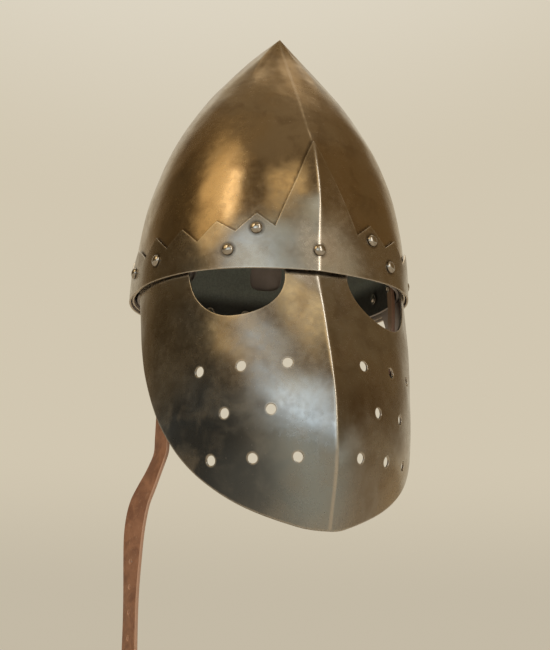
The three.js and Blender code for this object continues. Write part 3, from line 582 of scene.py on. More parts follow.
def outline_reach(z):
    """How far back the plate's side edge lies at a height, on a smooth curve through its points."""
    points = np.array(PLATE_OUTLINE) * (SKULL_HALF_LENGTH, PLATE_DROP)
    dense = smooth_path(points, False, lambda start, end: 20)
    return np.interp(z, dense[:, 1], dense[:, 0])


def side_angle(z):
    """Angle at which the plate's mid surface meets its side outline at a height."""
    inset = SKULL_SHEET + LAYER_GAP + PLATE_SHEET / 2
    low, high = np.zeros_like(z), np.full_like(z, 125.0)
    goal = outline_reach(z)
    for _ in range(40):
        middle = (low + high) / 2
        short = form_point(middle, z, inset)[:, 1] < goal
        low, high = np.where(short, middle, low), np.where(short, high, middle)
    return low


def eye_loop(hand):
    """Lower edge of an eye opening from its outer to its inner corner, as (angle, z)."""
    turn = np.linspace(0, math.pi, 44)
    reach = np.cos(turn)
    span = np.where(reach > 0, EYE_OUTER - EYE_LOWEST, EYE_LOWEST - EYE_INNER)
    return np.stack([hand * (EYE_LOWEST + reach * span), -EYE_DEPTH * np.sin(turn)], -1)


def make_plate():
    heights = np.concatenate([np.linspace(PLATE_TAB_HEIGHT, -150, 90), np.linspace(-151.8, -180, 18),
                              -PLATE_DROP + np.array([7, 5.8, 4.6, 3.4, 2.4, 1.5, 0.8, 0.3])])
    edge = np.stack([side_angle(heights), heights], -1)
    top, pitch = PLATE_TAB_HEIGHT, 2.2
    right_eye, left_eye = eye_loop(-1), eye_loop(1)
    outline = np.concatenate([
        edge * (-1, 1),
        edge[::-1],
        run(edge[0], (EYE_OUTER, top), pitch)[1:], run((EYE_OUTER, top), left_eye[0], pitch), left_eye,
        run(left_eye[-1], (EYE_INNER, top), pitch)[1:], run((EYE_INNER, top), (-EYE_INNER, top), pitch),
        run((-EYE_INNER, top), right_eye[-1], pitch), right_eye[::-1],
        run(right_eye[0], (-EYE_OUTER, top), pitch)[1:], run((-EYE_OUTER, top), edge[0] * (-1, 1), pitch),
    ])
    holes = []
    inset = SKULL_SHEET + LAYER_GAP
    for hand in (-1, 1):
        for angle, share in BREATH_ROWS:
            flat = spot(face_point, hand * angle, -share * PLATE_DROP, inset)
            z = flat[2] + ASKEW * hand * abs(flat[0])
            holes.append(hole_around(face_point, hand * angle, z, BREATH_RADIUS + BREATH_RIM, 36))
    # The plate is cut away over the eyes and ends at the temples
    holes += rivet_holes(round_point, [(angle, z) for angle, z in RIVET_SPOTS
                                       if abs(angle) < EYE_INNER or EYE_OUTER < abs(angle) < PLATE_TAB_ANGLE])
    rows = np.arange(-PLATE_DROP + 1.2, PLATE_TAB_HEIGHT - 1, 2.0)
    # The plate darkens with grime and painted shade under the brow band's rim
    under_brow = np.array([(-120, 1), (120, 1)])
    return make_sheet("face_plate_sheet", form_point, around(-112, 112, 1.15), rows, [outline, *holes],
                      (inset, inset + PLATE_SHEET), spacing=1.8, edge=0.4, seams=[under_brow])


GAP_FOOT_ANGLE = math.degrees(TONGUE_GAP / 2 / SKULL_HALF_WIDTH)
GAP_TIP_ANGLE = math.degrees(TONGUE_TIP_GAP / 2 / (SKULL_HALF_WIDTH - LINER_PEEL))


def gap_half_angle(z):
    up = (z - LINER_BREAK) / (LINER_CROWN - LINER_BREAK)
    return GAP_FOOT_ANGLE + (GAP_TIP_ANGLE - GAP_FOOT_ANGLE) * up


def make_liner():
    start, period, pitch, seam_pitch = LINER_START, 360, 2.5, 2.3
    power = 2 / GAP_FOOT_POWER
    side = [(GAP_FOOT_ANGLE * math.sin(t) ** power, LINER_BREAK - TONGUE_GAP / 2 * abs(math.cos(t)) ** power)
            for t in np.linspace(0, math.pi / 2, 16)]
    side += [(gap_half_angle(z), z) for z in np.linspace(LINER_BREAK, LINER_CROWN - 3, 42)[1:]]
    # The tongue's upper corners are rounded
    for down, back in ((1.2, 0.6), (0, 2.2)):
        side.append((gap_half_angle(LINER_CROWN - down) + back, LINER_CROWN - down))
    side = np.array(side)
    rows = np.arange(LINER_FOOT + seam_pitch, LINER_CROWN - 1, seam_pitch)
    end = start + period
    outline = [run((start, LINER_FOOT), (end, LINER_FOOT), pitch), [(end, z) for z in [LINER_FOOT, *rows]]]
    previous = end
    for k in range(TONGUE_COUNT - 1, -1, -1):
        gap = start + TONGUE_PITCH * (k + 0.5)
        right, left = side[::-1] + (gap, 0), side[1:] * (-1, 1) + (gap, 0)
        outline += [run((previous, LINER_CROWN), right[0], pitch), right, left[:-1]]
        previous = left[-1][0]
    outline += [run((previous, LINER_CROWN), (start, LINER_CROWN), pitch),
                [(start, z) for z in [LINER_CROWN, *rows[::-1]]]]
    laces = [(start + TONGUE_PITCH * (k + share - 0.5) % period, LINER_CROWN - LACE_DROP)
             for k in range(TONGUE_COUNT) for share in (0.25, 0.75)]
    rivets = [(angle + period if angle < start else angle, z) for angle, z in RIVET_SPOTS]
    loops = [np.concatenate(outline), *rivet_holes(liner_point, laces, LACE_RADIUS + LACE_PLAY, 18),
             *rivet_holes(liner_point, rivets)]
    return make_sheet("liner_leather", liner_point, np.arange(start + 1.5, end - 0.5, 1.5), rows, loops,
                      (0, LINER_LEATHER), spacing=2.2, edge=0.7, period=period)


# Turned and bent pieces
def rounded(name, points, closed_rows, closed_columns, sharp_from, caps=()):
    """Solid skin over a grid of points, smooth but for edges sharper than an angle."""
    rows, columns = points.shape[:2]
    faces = list(caps)
    for r in range(rows if closed_rows else rows - 1):
        for c in range(columns if closed_columns else columns - 1):
            a, b, d = r * columns, (r + 1) % rows * columns, (c + 1) % columns
            faces.append([a + c, a + d, b + d, b + c])
    obj = mesh_object(name, points.reshape(-1, 3), faces)
    mesh = bmesh.new()
    mesh.from_mesh(obj.data)
    bmesh.ops.remove_doubles(mesh, verts=mesh.verts, dist=1e-7)
    bmesh.ops.dissolve_degenerate(mesh, edges=mesh.edges, dist=1e-7)
    bmesh.ops.recalc_face_normals(mesh, faces=mesh.faces)
    mesh.to_mesh(obj.data)
    mesh.free()
    obj.data.shade_smooth()
    obj.data.set_sharp_from_angle(angle=math.radians(sharp_from))
    return obj


def lathe(name, profile_points, seat, direction, sides=48):
    """Profile of (radius, height) points turned about direction through seat."""
    across, up = np.hsplit(np.array(profile_points, float), 2)
    side = unit(np.cross(direction, (0.31, 0.17, 0.93)))
    turn = 2 * math.pi * np.arange(sides)[:, None, None] / sides
    out = side * np.cos(turn) + np.cross(direction, side) * np.sin(turn)
    # A profile that keeps off the axis is a ring, and closes on itself
    return rounded(name, seat + across * out + up * direction, True, across[0, 0] > 0, 35)


def rod(name, path, radius, closed, normal, sides=20):
    """Round rod along a path, of one radius or one for each point."""
    ahead = np.roll(path, -1, 0) - np.roll(path, 1, 0)
    if not closed:
        ahead[0], ahead[-1] = path[1] - path[0], path[-1] - path[-2]
    ahead = unit(ahead)
    across = unit(np.cross(normal, ahead))
    up = unit(np.cross(ahead, across))
    turn = 2 * math.pi * np.arange(sides)[:, None] / sides
    rim = across[:, None] * np.cos(turn) + up[:, None] * np.sin(turn)
    points = path[:, None] + rim * np.broadcast_to(radius, len(path))[:, None, None]
    first = list(range(sides))
    caps = [] if closed else [first[::-1], [(len(path) - 1) * sides + k for k in first]]
    return rounded(name, points, closed, True, 50, caps)


def arc(foot, radius, height, start, end, steps):
    """Round of a rivet's head or tail, as (radius, height)."""
    turn = np.radians(np.linspace(start, end, steps))
    return [*zip(radius * np.cos(turn), foot + height * np.sin(turn))]


def make_rivets(steel):
    for name, angle, z in RIVETS:
        seat, direction, stack = rivet_seat(angle, z, name.startswith("strap"))
        foot = -stack - WASHER_SHEET - 2 * LAYER_GAP
        tail = arc(foot, TAIL_RADIUS, TAIL_HEIGHT, -88, -6, 9)
        lip, bevel = 0.12, 0.2
        head = arc(lip, RIVET_RADIUS, RIVET_HEIGHT - lip, 0, 88, 12)
        whole = [(0, foot - TAIL_HEIGHT), *tail, (TAIL_RADIUS, foot), (SHANK_RADIUS, foot), (SHANK_RADIUS, 0),
                 (RIVET_RADIUS - 0.15, 0), *head, (0, RIVET_HEIGHT)]
        top, bore = -stack - LAYER_GAP, SHANK_RADIUS + LAYER_GAP
        low, inner = top - WASHER_SHEET, WASHER_RADIUS - bevel
        ring = [(bore, low), (inner, low), (WASHER_RADIUS, low + bevel), (WASHER_RADIUS, top - bevel),
                (inner, top), (bore, top)]
        for kind, part, points in (("rivet", "dome", whole), ("washer", "ring", ring)):
            piece = lathe(f"{kind}_{name}_{part}", points, seat, direction)
            settle(piece, steel, "helmet", "rivet_steel", f"{kind}_{name}")


def lace_path():
    points = []
    height = LINER_CROWN - LACE_DROP
    sweep = LINER_LEATHER / 2 + LACE_RADIUS + LACE_PLAY
    for k in range(TONGUE_COUNT):
        for share, side in LACE_WAVE:
            angle = TONGUE_GAP_ANGLE + TONGUE_PITCH * (k + share)
            way = way_out(liner_point, angle, height)
            points.append(spot(liner_point, angle, height, LINER_LEATHER / 2) - side * sweep * way)
    pitch = 1.2
    return smooth_path(np.array(points), True, lambda a, b: max(int(np.linalg.norm(b - a) / pitch), 2))


# Chin straps: each is a sheet of (across, down, inset), hung from its swing's axis
Seat = namedtuple("Seat", "pivot out level plumb across down")


def strap_seat(hand):
    name = "strap_left_swing" if hand > 0 else "strap_right_swing"
    swing = next(joint for joint in frame["joints"] if joint["name"] == name)
    out = unit(hand * np.array(swing["axis"]))
    level = unit([out[0], out[1], 0])
    plumb = np.array([0, 0, -1.0])
    across = np.cross(plumb, level)
    return Seat(np.array(swing["pos_m"]) / MM, out, level, plumb, across, -np.cross(across, out))


def past_bend(distance):
    return np.clip((distance - STRAP_BEND + BEND_EASE) / (2 * BEND_EASE), 0, 1)[..., None]


def hang(seat, distance):
    """Middle of the leather, which leans with the rivet down to the bend and is plumb below it."""
    distance = np.asarray(distance, float)
    past, distance = past_bend(distance), distance[..., None]
    plumb_run = np.where(distance > STRAP_BEND + BEND_EASE, distance - STRAP_BEND, BEND_EASE * past * past)
    return seat.pivot + seat.down * (distance - plumb_run) + seat.plumb * plumb_run


def strap_face(seat, distance):
    past = past_bend(distance)
    return unit(seat.out * (1 - past) + seat.level * past)


HALF_TURN = np.linspace(0, math.pi, 26)
SQUARE = [(-1, -1), (1, -1), (1, 1), (-1, 1)]


def make_strap(name, surface, edge, low, end, holes, pitch, row_pitch, spacing):
    """Strap with a round top and straight sides down to low, where the points of its end follow."""
    half = STRAP_WIDTH / 2 - edge
    top = half - STRAP_TOP_REACH
    outline = np.concatenate([
        [(-half * math.cos(t), top - half * math.sin(t)) for t in HALF_TURN],
        run((half, top), (half, low), pitch, 1)[1:], end, run((-half, low), (-half, top), pitch, 1)[1:],
    ])
    columns = np.linspace(-half + 0.9, half - 0.9, 12)
    rows = np.arange(-9.5, max(v for _, v in end), row_pitch)
    return make_sheet(name, surface, columns, rows, [outline, circle(0, SHANK_BORE, 18), *holes],
                      (0, STRAP_LEATHER), stretch=1, spacing=spacing, edge=edge)


# Where the long strap's curl starts, over what length it grows, its depth and its wave
CURL_START, CURL_GROWTH, CURL_DEPTH, CURL_WAVE = 60, 80, 0.5, 23


def make_holed_strap():
    seat = strap_seat(-1)
    length = HOLED_STRAP_LENGTH - STRAP_TOP_REACH
    half = STRAP_WIDTH / 2 - HOLED_STRAP_EDGE

    def centre(at):
        share = np.maximum(at, 0) / length
        return hang(seat, at) + seat.level * (HOLED_STRAP_SWING * along(STRAP_SET, share, 1))[..., None]

    # The leather cups a little along its length and its edges curl where it hangs free
    def surface(u, v, inset):
        ahead = unit(centre(v + 0.5) - centre(v - 0.5))
        turn = np.radians(HOLED_STRAP_TURN * along(STRAP_SET, np.maximum(v, 0) / length, 2))
        x, y, z = np.moveaxis(strap_face(seat, v), -1, 0)
        face = np.stack([x * np.cos(turn) - y * np.sin(turn), x * np.sin(turn) + y * np.cos(turn), z], -1)
        across = unit(np.cross(ahead, face))
        out = unit(np.cross(across, ahead))
        free = np.clip((v - CURL_START) / CURL_GROWTH, 0, 1)
        wave = CURL_DEPTH * free * np.sin(v / CURL_WAVE) * np.clip(u / half, -1, 1)
        cup = -CURL_DEPTH * free * ((u / half) ** 2 - 0.3)
        lift = STRAP_LEATHER / 2 - inset + cup + wave
        return centre(v) + across * u[..., None] + out * lift[..., None]

    tip = 16
    end = [(half * math.cos(t), length - tip + tip * math.sin(t) ** 0.8) for t in HALF_TURN]
    holes = [circle(length - LAST_HOLE - STRAP_HOLE_PITCH * k, STRAP_HOLE_RADIUS + STRAP_HOLE_RIM, 20)
             for k in range(STRAP_HOLE_COUNT)]
    return make_strap("chin_strap_leather", surface, HOLED_STRAP_EDGE, length - tip, end, holes,
                      2.2, 1.9, 1.8)


def buckle_seat():
    """The buckle strap's seat, the radius of its turn round the frame, and that turn's centre."""
    seat = strap_seat(1)
    turn_radius = ROD_RADIUS + LAYER_GAP + STRAP_LEATHER / 2
    return seat, turn_radius, hang(seat, BUCKLE_STRAP_DROP) - seat.level * turn_radius


def make_buckle_strap():
    seat, turn_radius, centre = buckle_seat()
    half = STRAP_WIDTH / 2 - BUCKLE_STRAP_EDGE
    bend = math.pi * turn_radius
    fold_inset = 2 * turn_radius - STRAP_LEATHER - LAYER_GAP
    turned = BUCKLE_STRAP_DROP + bend
    total = turned + FOLD_BACK

    def surface(u, v, inset):
        turn = np.clip((v - BUCKLE_STRAP_DROP) / turn_radius, 0, math.pi)[..., None]
        round_face = seat.level * np.cos(turn) + seat.plumb * np.sin(turn)
        bent = centre + round_face * turn_radius
        past = np.maximum(v - turned, 0)
        closed = np.clip((past / FOLD_BACK - 0.1) / 0.4, 0, 1)
        closed = closed * closed * (3 - 2 * closed)
        back = bent - seat.plumb * past[..., None] + seat.level * (closed * fold_inset)[..., None]
        low, after = (v <= BUCKLE_STRAP_DROP)[..., None], (v > turned)[..., None]
        point = np.where(low, hang(seat, np.minimum(v, BUCKLE_STRAP_DROP)), np.where(after, back, bent))
        face = np.where(low, strap_face(seat, v), round_face)
        return point + seat.across * u[..., None] + face * (STRAP_LEATHER / 2 - inset + 0 * u)[..., None]

    corner = 6
    end = [(half * 0.5 + half * 0.5 * math.cos(t), total - corner + corner * math.sin(t))
           for t in np.linspace(0, math.pi / 2, 8)]
    end += [(-x, z) for x, z in end[::-1]]
    mid = BUCKLE_STRAP_DROP + bend / 2
    slot_half = bend / 2 + (SLOT_LENGTH - 2 * SLOT_DROP) / 2 - 2
    slot = polyline([(x * SLOT_WIDTH / 2, mid + z * slot_half) for x, z in SQUARE], 1.2, 1)
    pin = FOLD_BACK * FOLD_RIVET_SHARE
    bore = FOLD_SHANK + LAYER_GAP + BORE_RIM
    bores = [circle(at, bore, 16) for at in (BUCKLE_STRAP_DROP - pin, turned + pin)]
    return make_strap("buckle_strap_leather", surface, BUCKLE_STRAP_EDGE, total - corner, end, [slot, *bores],
                      2.0, 1.2, 1.2)


def make_buckle(steel):
    seat, _, centre = buckle_seat()
    half = BUCKLE_WIDTH / 2 - ROD_RADIUS - BUCKLE_CORNER
    far = BUCKLE_LENGTH - 2 * ROD_RADIUS - BUCKLE_CORNER
    corners = [(-half, BUCKLE_CORNER), (half, BUCKLE_CORNER), (half, far), (-half, far)]
    points = []
    for i, (sideways, drop) in enumerate(corners):
        for k in range(9):
            turn = math.pi / 2 * (i + 2 + k / 8)
            points.append(centre + seat.across * (sideways + BUCKLE_CORNER * math.cos(turn))
                          + seat.plumb * (drop + BUCKLE_CORNER * math.sin(turn)))
    path = []
    for point, following in zip(points, [*points[1:], points[0]]):
        count = max(int(np.linalg.norm(following - point)), 1)
        path += [point + (following - point) * k / count for k in range(count)]
    settle(rod("buckle_frame_rod", np.array(path), ROD_RADIUS, True, seat.level),
           steel, "buckle", "buckle_steel", "buckle_frame")
    radius = ROD_RADIUS + LAYER_GAP + PRONG_RADIUS
    points = []
    for turn in np.radians(RING_START + RING_TURN * np.arange(25) / 24):
        points.append(centre - seat.level * radius * math.sin(turn) - seat.plumb * radius * math.cos(turn))
    tip = centre + seat.plumb * (BUCKLE_LENGTH - LAYER_GAP) + seat.level * radius
    last = points[-1]
    points += [last + (tip - last) * share for share in (0.15, 0.3, 0.5, 0.7, 0.85, 0.95, 1)]
    radii = PRONG_RADIUS * np.array([1] * (len(points) - 4) + [0.95, 0.85, 0.65, 0.35])
    settle(rod("buckle_prong_wire", np.array(points), radii, False, seat.across, 16),
           steel, "prong", "buckle_steel", "buckle_prong")
    depth = 2 * STRAP_LEATHER + 3 * LAYER_GAP
    place = hang(seat, BUCKLE_STRAP_DROP - FOLD_BACK * FOLD_RIVET_SHARE)
    place = place + seat.level * (STRAP_LEATHER / 2 + LAYER_GAP)
    lip = 0.05
    head = [*arc(lip, FOLD_HEAD_RADIUS, FOLD_HEAD_HEIGHT - lip, 0, 88, 9), (0, FOLD_HEAD_HEIGHT)]
    whole = [*((r, -depth - h) for r, h in head[::-1]), (FOLD_SHANK, -depth), (FOLD_SHANK, 0), *head]
    pin = lathe("fold_rivet_pin", whole, place, seat.level, 32)
    settle(pin, steel, "strap_left", "rivet_steel", "fold_rivet")


# Materials
class Graph:
    """A node tree under construction."""

    def __init__(self, tree):
        self.tree = tree

    def add(self, kind, inputs, output=0, **settings):
        node = self.tree.nodes.new(kind)
        for key, value in settings.items():
            setattr(node, key, value)
        for key, value in inputs.items():
            self.feed(node, key, value)
        return node.outputs[output]

    def feed(self, node, key, value):
        if isinstance(value, bpy.types.NodeSocket):
            self.tree.links.new(value, node.inputs[key])
        else:
            node.inputs[key].default_value = value

    def ramp(self, value, low, high, to_low=0.0, to_high=1.0):
        return self.add("ShaderNodeMapRange", {
            "Value": value, "From Min": low, "From Max": high, "To Min": to_low, "To Max": to_high,
        }, interpolation_type="SMOOTHSTEP")

    def mix(self, share, a, b):
        a, b = (c if isinstance(c, bpy.types.NodeSocket) else (*c, 1) for c in (a, b))
        return self.add("ShaderNodeMix", {0: share, 6: a, 7: b}, 2, data_type="RGBA")

    def math(self, kind, a, b=0.0, clamp=False):
        return self.add("ShaderNodeMath", {0: a, 1: b}, operation=kind, use_clamp=clamp)

    def times(self, a, b):
        return self.math("MULTIPLY", a, b)

    def plus(self, a, b, clamp=False):
        return self.math("ADD", a, b, clamp)

    def most(self, a, b):
        return self.math("MAXIMUM", a, b)


class Look(Graph):
    """A material under construction, read in the object's own millimetres."""

    def __init__(self, name):
        self.material = bpy.data.materials.new(name)
        self.material.use_nodes = True
        super().__init__(self.material.node_tree)
        self.shader = self.tree.nodes["Principled BSDF"]
        metres = self.add("ShaderNodeTexCoord", {}, "Object")
        self.place = self.add("ShaderNodeVectorMath", {0: metres, 1: (1 / MM,) * 3}, operation="MULTIPLY")

    def finish(self, colour, metallic, rough, normal):
        sockets = {"Base Color": colour, "Metallic": metallic, "Roughness": rough, "Normal": normal}
        for name, value in sockets.items():
            if value is not None:
                self.feed(self.shader, name, value)
        return self.material

    def stretched(self, scale, turn):
        return self.add("ShaderNodeMapping", {"Vector": self.place, "Rotation": turn, "Scale": scale})

    def noise(self, length, detail, roughness, vector=None, distortion=0.0):
        return self.add("ShaderNodeTexNoise", {
            "Vector": self.place if vector is None else vector, "Scale": 1 / length, "Detail": detail,
            "Roughness": roughness, "Distortion": distortion,
        })

    def attribute(self, name):
        return self.add("ShaderNodeAttribute", {}, 2, attribute_name=name)

    def height(self):
        return self.add("ShaderNodeSeparateXYZ", {0: self.place}, "Z")

    def near(self, point, inner, outer):
        """1 within inner millimetres of a point, falling to 0 at outer."""
        distance = self.add("ShaderNodeVectorMath", {0: self.place, 1: point}, 1, operation="DISTANCE")
        return self.ramp(distance, inner, outer, 1.0, 0.0)

    def bump(self, height, depth, **others):
        inputs = {"Height": height, "Strength": 1.0, "Distance": depth * MM, **others}
        return self.add("ShaderNodeBump", inputs)


def shade(colour, share):
    return tuple(min(1, c * share) for c in colour)


# Tone of the rubbed wear and painted highlight on edges and the crease
RUBBED_AND_HIGHLIGHT = (0.74, 0.70, 0.63)
# Darkest and palest of the plates' dull inner side
INSIDE = (0.40, 0.365, 0.37), (0.50, 0.46, 0.465)


def steel_look(name, base, warm, dark, warmth, roughness, crease_wear_highlight_share, painted_patches=(), warm_above=None):
    look = Look(name)
    cloud = look.noise(46, 4, 0.6, distortion=0.6)
    blotch = look.noise(19, 3, 0.55, distortion=0.4)
    fine = look.noise(4.5, 4, 0.6)
    warm_share = look.plus(look.times(look.ramp(cloud, 0.36, 0.62), warmth[1]), warmth[0], True)
    if warm_above is not None:
        warm_share = look.most(warm_share, look.ramp(look.height(), *warm_above, 0, 0.8))
    colour = look.mix(warm_share, base, warm)
    colour = look.mix(look.ramp(blotch, 0.45, 0.75, 0, 0.5), colour, dark)
    # Ragged patches of painted reflection and shade
    for point, inner, outer, share, tone in painted_patches:
        ragged = look.times(look.near(point, inner, outer), look.ramp(blotch, 0.25, 0.6, 0.7, 1.0))
        colour = look.mix(look.times(ragged, share), colour, tone)
    # Fine polishing lines round the helmet and a few longer scratches
    lines = look.noise(0.9, 3, 0.6, look.stretched((0.05, 0.05, 1.0), (0, 0, 0)))
    scratch_a = look.noise(1.3, 2, 0.5, look.stretched((0.02, 1.0, 1.0), (0.2, 0.5, 0.7)))
    scratch_b = look.noise(1.1, 2, 0.5, look.stretched((1.0, 0.03, 1.0), (0.9, 0.1, 0.35)))
    scratches = look.most(look.ramp(scratch_a, 0.70, 0.80), look.ramp(scratch_b, 0.70, 0.80))
    colour = look.mix(look.times(scratches, 0.2), colour, shade(base, 1.5))
    # Small dark pits
    pits = look.ramp(look.noise(2.6, 3, 0.6), 0.74, 0.84, 0, 0.4)
    colour = look.mix(pits, colour, shade(dark, 0.4))
    # Grime and painted shade darken the corner along a neighbour's edge
    grime_and_shade = look.ramp(look.attribute("seam_distance"), 0.4, 2.8, 0.75, 0.0)
    grime_and_shade = look.times(grime_and_shade, look.ramp(fine, 0.25, 0.6, 0.6, 1.0))
    colour = look.mix(grime_and_shade, colour, shade(dark, 0.35))
    # Edges and the crease are rubbed bright, partly wear and partly a painted highlight
    rim_wear_and_highlight = look.ramp(look.attribute("rim_distance"), 0.1, 1.1, 0.7, 0.0)
    rim_wear_and_highlight = look.times(rim_wear_and_highlight, look.ramp(fine, 0.3, 0.6, 0.5, 1.0))
    crease = look.attribute("crease_distance")
    crease_wear_and_highlight = look.times(look.ramp(crease, 0.5, 2.0, crease_wear_highlight_share, 0.0), look.ramp(cloud, 0.3, 0.6, 0.7, 1.0))
    wear_and_highlight = look.most(look.most(look.attribute("edge_share"), rim_wear_and_highlight), crease_wear_and_highlight)
    colour = look.mix(look.times(wear_and_highlight, 0.75), colour, RUBBED_AND_HIGHLIGHT)
    # The inner side is left dull and dark
    back = look.attribute("back_share")
    colour = look.mix(back, colour, look.mix(look.ramp(blotch, 0.3, 0.7), *INSIDE))
    rough = look.plus(look.ramp(cloud, 0.3, 0.7, roughness - 0.04, roughness + 0.05),
                      look.ramp(fine, 0.3, 0.7, -0.03, 0.04))
    rough = look.plus(rough, look.times(scratches, 0.08))
    rough = look.plus(rough, look.times(back, 0.3), True)
    height = look.plus(look.times(lines, 0.35), look.times(fine, 0.5))
    height = look.math("SUBTRACT", height, look.times(scratches, 0.5))
    height = look.times(height, look.ramp(crease, 1.0, 4.0, 0.15, 1.0))
    soft = look.bump(look.noise(24, 2, 0.5), 0.35)
    metallic = look.math("SUBTRACT", 1.0, look.times(back, 0.4))
    return look.finish(colour, metallic, rough, look.bump(height, 0.012, Normal=soft))


def small_steel_look(name, base, dark, roughness):
    look = Look(name)
    spot = look.noise(2.2, 4, 0.6)
    return look.finish(
        look.mix(look.ramp(spot, 0.5, 0.8, 0, 0.8), base, dark), 1.0,
        look.ramp(spot, 0.3, 0.7, roughness - 0.05, roughness + 0.08),
        look.bump(look.noise(1.2, 3, 0.6), 0.03),
    )


def leather_look(name, base, dark, light, grain, roughness, back=None, painted_shadow_below=None, cut=None):
    look = Look(name)
    mottle = look.noise(13, 5, 0.6, distortion=0.5)
    spots = look.noise(3.2, 4, 0.6)
    colour = look.mix(look.ramp(mottle, 0.35, 0.65), dark, base)
    colour = look.mix(look.ramp(spots, 0.55, 0.78, 0, 0.6), colour, light)
    if back is not None:
        flesh = look.mix(look.ramp(look.noise(1.6, 5, 0.7), 0.35, 0.7), shade(back, 0.7), back)
        colour = look.mix(look.attribute("back_share"), colour, flesh)
    # Painted shadow: the liner darkens towards its lower edge
    if painted_shadow_below is not None:
        colour = look.mix(look.ramp(look.height(), *painted_shadow_below, 0.9, 0.0), colour, shade(dark, 0.3))
    edge = look.attribute("edge_share")
    colour = look.mix(look.times(edge, 0.8), colour, cut or shade(light, 1.35))
    rough = look.ramp(spots, 0.3, 0.7, roughness - 0.08, roughness + 0.1)
    cells = look.add("ShaderNodeTexVoronoi", {"Vector": look.place, "Scale": 1 / grain, "Randomness": 1.0})
    creases = look.noise(5.5, 5, 0.65, distortion=0.8)
    height = look.plus(look.times(cells, 0.5), look.times(creases, 0.9))
    return look.finish(colour, None, rough, look.bump(height, 0.22))


# Painted reflections and shade on steel: [point, its even middle, where it has faded, share, colour]
BAND_PAINTED_SHADE = [
    ((95, -40, 20), 10, 80, 0.4, (0.3, 0.24, 0.17)),
    ((-95, -40, 10), 10, 55, 0.4, (0.3, 0.24, 0.16)),
]
PLATE_PAINTED_REFLECTIONS = [
    ((-10, -130, -150), 16, 70, 0.9, (0.44, 0.53, 0.60)),
    ((-84, -80, -130), 30, 92, 1.0, (0.06, 0.066, 0.072)),
    ((-54, -112, -165), 8, 56, 0.8, (0.12, 0.14, 0.16)),
    ((20, -126, -105), 8, 50, 0.6, (0.18, 0.125, 0.07)),
    ((50, -112, -140), 15, 70, 0.7, (0.25, 0.18, 0.10)),
    ((84, -80, -150), 8, 50, 0.6, (0.52, 0.39, 0.22)),
    ((90, -60, -40), 10, 80, 0.4, (0.28, 0.22, 0.16)),
    ((-98, -45, -55), 10, 62, 0.75, (0.2, 0.165, 0.11)),
]


def make_materials():
    # Steel: plain, warm and dark colour, least and added warmth, roughness, share of the crease's wear and
    # painted highlight
    # Leather: plain, dark and light colour, grain in millimetres, roughness
    return {
        "skull": steel_look("skull_steel", (0.49, 0.42, 0.32), (0.45, 0.34, 0.20), (0.25, 0.18, 0.11),
                            (0.25, 0.5), 0.21, 0.35),
        "band": steel_look("band_steel", (0.50, 0.48, 0.44), (0.46, 0.37, 0.25), (0.27, 0.21, 0.15),
                           (0.05, 0.45), 0.23, 0.95, painted_patches=BAND_PAINTED_SHADE, warm_above=(16, 46)),
        "plate": steel_look("plate_steel", (0.50, 0.49, 0.46), (0.41, 0.33, 0.23), (0.26, 0.21, 0.16),
                            (0.05, 0.5), 0.24, 0.95, painted_patches=PLATE_PAINTED_REFLECTIONS),
        "rivet": small_steel_look("rivet_steel_look", (0.56, 0.53, 0.48), (0.28, 0.22, 0.15), 0.17),
        "buckle": small_steel_look("buckle_steel_look", (0.45, 0.42, 0.38), (0.24, 0.19, 0.13), 0.3),
        "liner": leather_look("liner_leather_look", (0.050, 0.050, 0.052), (0.025, 0.025, 0.026),
                              (0.09, 0.09, 0.095), 1.5, 0.5, back=(0.30, 0.36, 0.36), painted_shadow_below=(20, 33),
                              cut=(0.5, 0.48, 0.48)),
        "lace": leather_look("lace_leather_look", (0.11, 0.065, 0.04), (0.06, 0.035, 0.02),
                             (0.17, 0.11, 0.07), 1.0, 0.6),
        "strap": leather_look("strap_leather_look", (0.44, 0.235, 0.155), (0.28, 0.14, 0.095),
                              (0.55, 0.36, 0.27), 1.3, 0.5, back=(0.42, 0.28, 0.19)),
    }


FLOOR_REACH, FLOOR_DROP = 40, 0.001


def make_floor():
    mesh = bpy.data.meshes.new("floor")
    corners = [(x * FLOOR_REACH, y * FLOOR_REACH, cad_box[0][2] - FLOOR_DROP) for x, y in SQUARE]
    mesh.from_pydata(corners, [], [(0, 1, 2, 3)])
    floor = bpy.data.objects.new("floor", mesh)
    bpy.context.scene.collection.objects.link(floor)
    look = Look("floor_look")
    colour = look.mix(look.ramp(look.noise(900, 2, 0.5), 0.3, 0.7), (0.80, 0.79, 0.77), (0.84, 0.83, 0.81))
    floor.data.materials.append(look.finish(colour, None, 0.9, None))


# Rectangular lamps that face the helmet: [name, degrees from the front towards +X, degrees up,
# size in metres, radiance, colour]
LAMP_DISTANCE = 2.3
LAMPS = [
    ("crease_strip", 18, 30, (0.42, 2.0), 3, (1, 0.95, 0.86)),
    ("key", -60, 42, (0.4, 0.9), 1.8, (1, 0.80, 0.55)),
    ("top", 150, 66, (1.2, 1.2), 0.55, (1, 0.80, 0.56)),
]
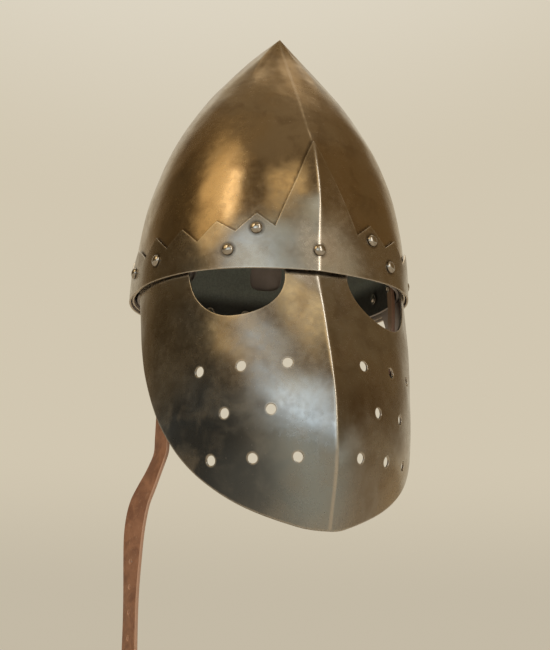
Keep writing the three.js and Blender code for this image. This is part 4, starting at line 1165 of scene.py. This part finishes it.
# The light round the helmet: a warm dim surround, with soft patches on it, each as
# [degrees from the front towards +X, degrees up, its even middle, where it has faded, colour]
SURROUND = (0.19, 0.122, 0.055)
GLOWS = [
    (162, 13, 22, 43, (0.64, 0.57, 0.44)),
    (0, 90, 15, 45, (0.27, 0.195, 0.11)),
    (165, 46, 14, 30, (0.78, 0.73, 0.62)),
    (30, 2, 14, 30, (0.48, 0.42, 0.31)),
    (-98, 2, 12, 36, (0.07, 0.052, 0.03)),
    (-126, 22, 10, 28, (0.10, 0.066, 0.03)),
    (-15, 14, 10, 26, (0.55, 0.56, 0.50)),
    (-35, 4, 8, 34, (0.95, 1.04, 1.08)),
    (-37, 2, 2, 13, (2.1, 2.3, 2.45)),
    (-30, 52, 3, 14, (0.12, 0.08, 0.04)),
    (-76, 40, 14, 24, (1.25, 0.88, 0.43)),
    (-10, 47, 3, 11, (1.2, 0.88, 0.46)),
    (25, 18, 2, 11, (0.7, 0.5, 0.3)),
]
# Below the second of these heights, in degrees, it is all one pale horizon, which fades up to the first
HORIZON, HORIZON_FADE = (0.55, 0.49, 0.38), (8, 3)


def make_lights():
    for name, azimuth, elevation, size, radiance, colour in LAMPS:
        way = facing(azimuth, elevation)
        data = bpy.data.lights.new(name, "AREA")
        data.shape = "RECTANGLE"
        data.size, data.size_y = size
        data.energy = math.pi * size[0] * size[1] * radiance
        data.color = colour
        light = bpy.data.objects.new(name, data)
        light.location = way * LAMP_DISTANCE
        light.rotation_euler = (-way).to_track_quat("-Z", "Y").to_euler()
        bpy.context.scene.collection.objects.link(light)
    world = bpy.data.worlds.new("studio")
    bpy.context.scene.world = world
    world.use_nodes = True
    graph = Graph(world.node_tree)
    way = graph.add("ShaderNodeTexCoord", {}, "Generated")
    colour = SURROUND
    for azimuth, elevation, inner, outer, tone in GLOWS:
        towards = {0: way, 1: facing(azimuth, elevation)}
        nearness = graph.add("ShaderNodeVectorMath", towards, "Value", operation="DOT_PRODUCT")
        share = graph.ramp(nearness, math.cos(math.radians(outer)), math.cos(math.radians(inner)))
        colour = graph.mix(share, colour, tone)
    height = graph.add("ShaderNodeSeparateXYZ", {0: way}, "Z")
    share = graph.ramp(height, *(math.sin(math.radians(a)) for a in HORIZON_FADE))
    graph.feed(graph.tree.nodes["Background"], "Color", graph.mix(share, colour, HORIZON))


looks = make_materials()
for piece, look_name, body, slot_name, node in (
    (make_skull(), "skull", "helmet", "sheet_steel", "skull"),
    (make_band(), "band", "helmet", "sheet_steel", "brow_band"),
    (make_plate(), "plate", "helmet", "sheet_steel", "face_plate"),
    (make_liner(), "liner", "helmet", "dark_leather", "liner"),
    (rod("liner_lace_thong", lace_path(), LACE_RADIUS, True, (0, 0, 1)), "lace", "helmet", "lace_leather",
     "liner_lace"),
    (make_holed_strap(), "strap", "strap_right", "brown_leather", "chin_strap_right"),
    (make_buckle_strap(), "strap", "strap_left", "brown_leather", "buckle_strap_left"),
):
    settle(piece, looks[look_name], body, slot_name, node)
make_rivets(looks["rivet"])
make_buckle(looks["buckle"])
make_floor()
make_lights()

bpy.context.scene.view_settings.view_transform = "Standard"
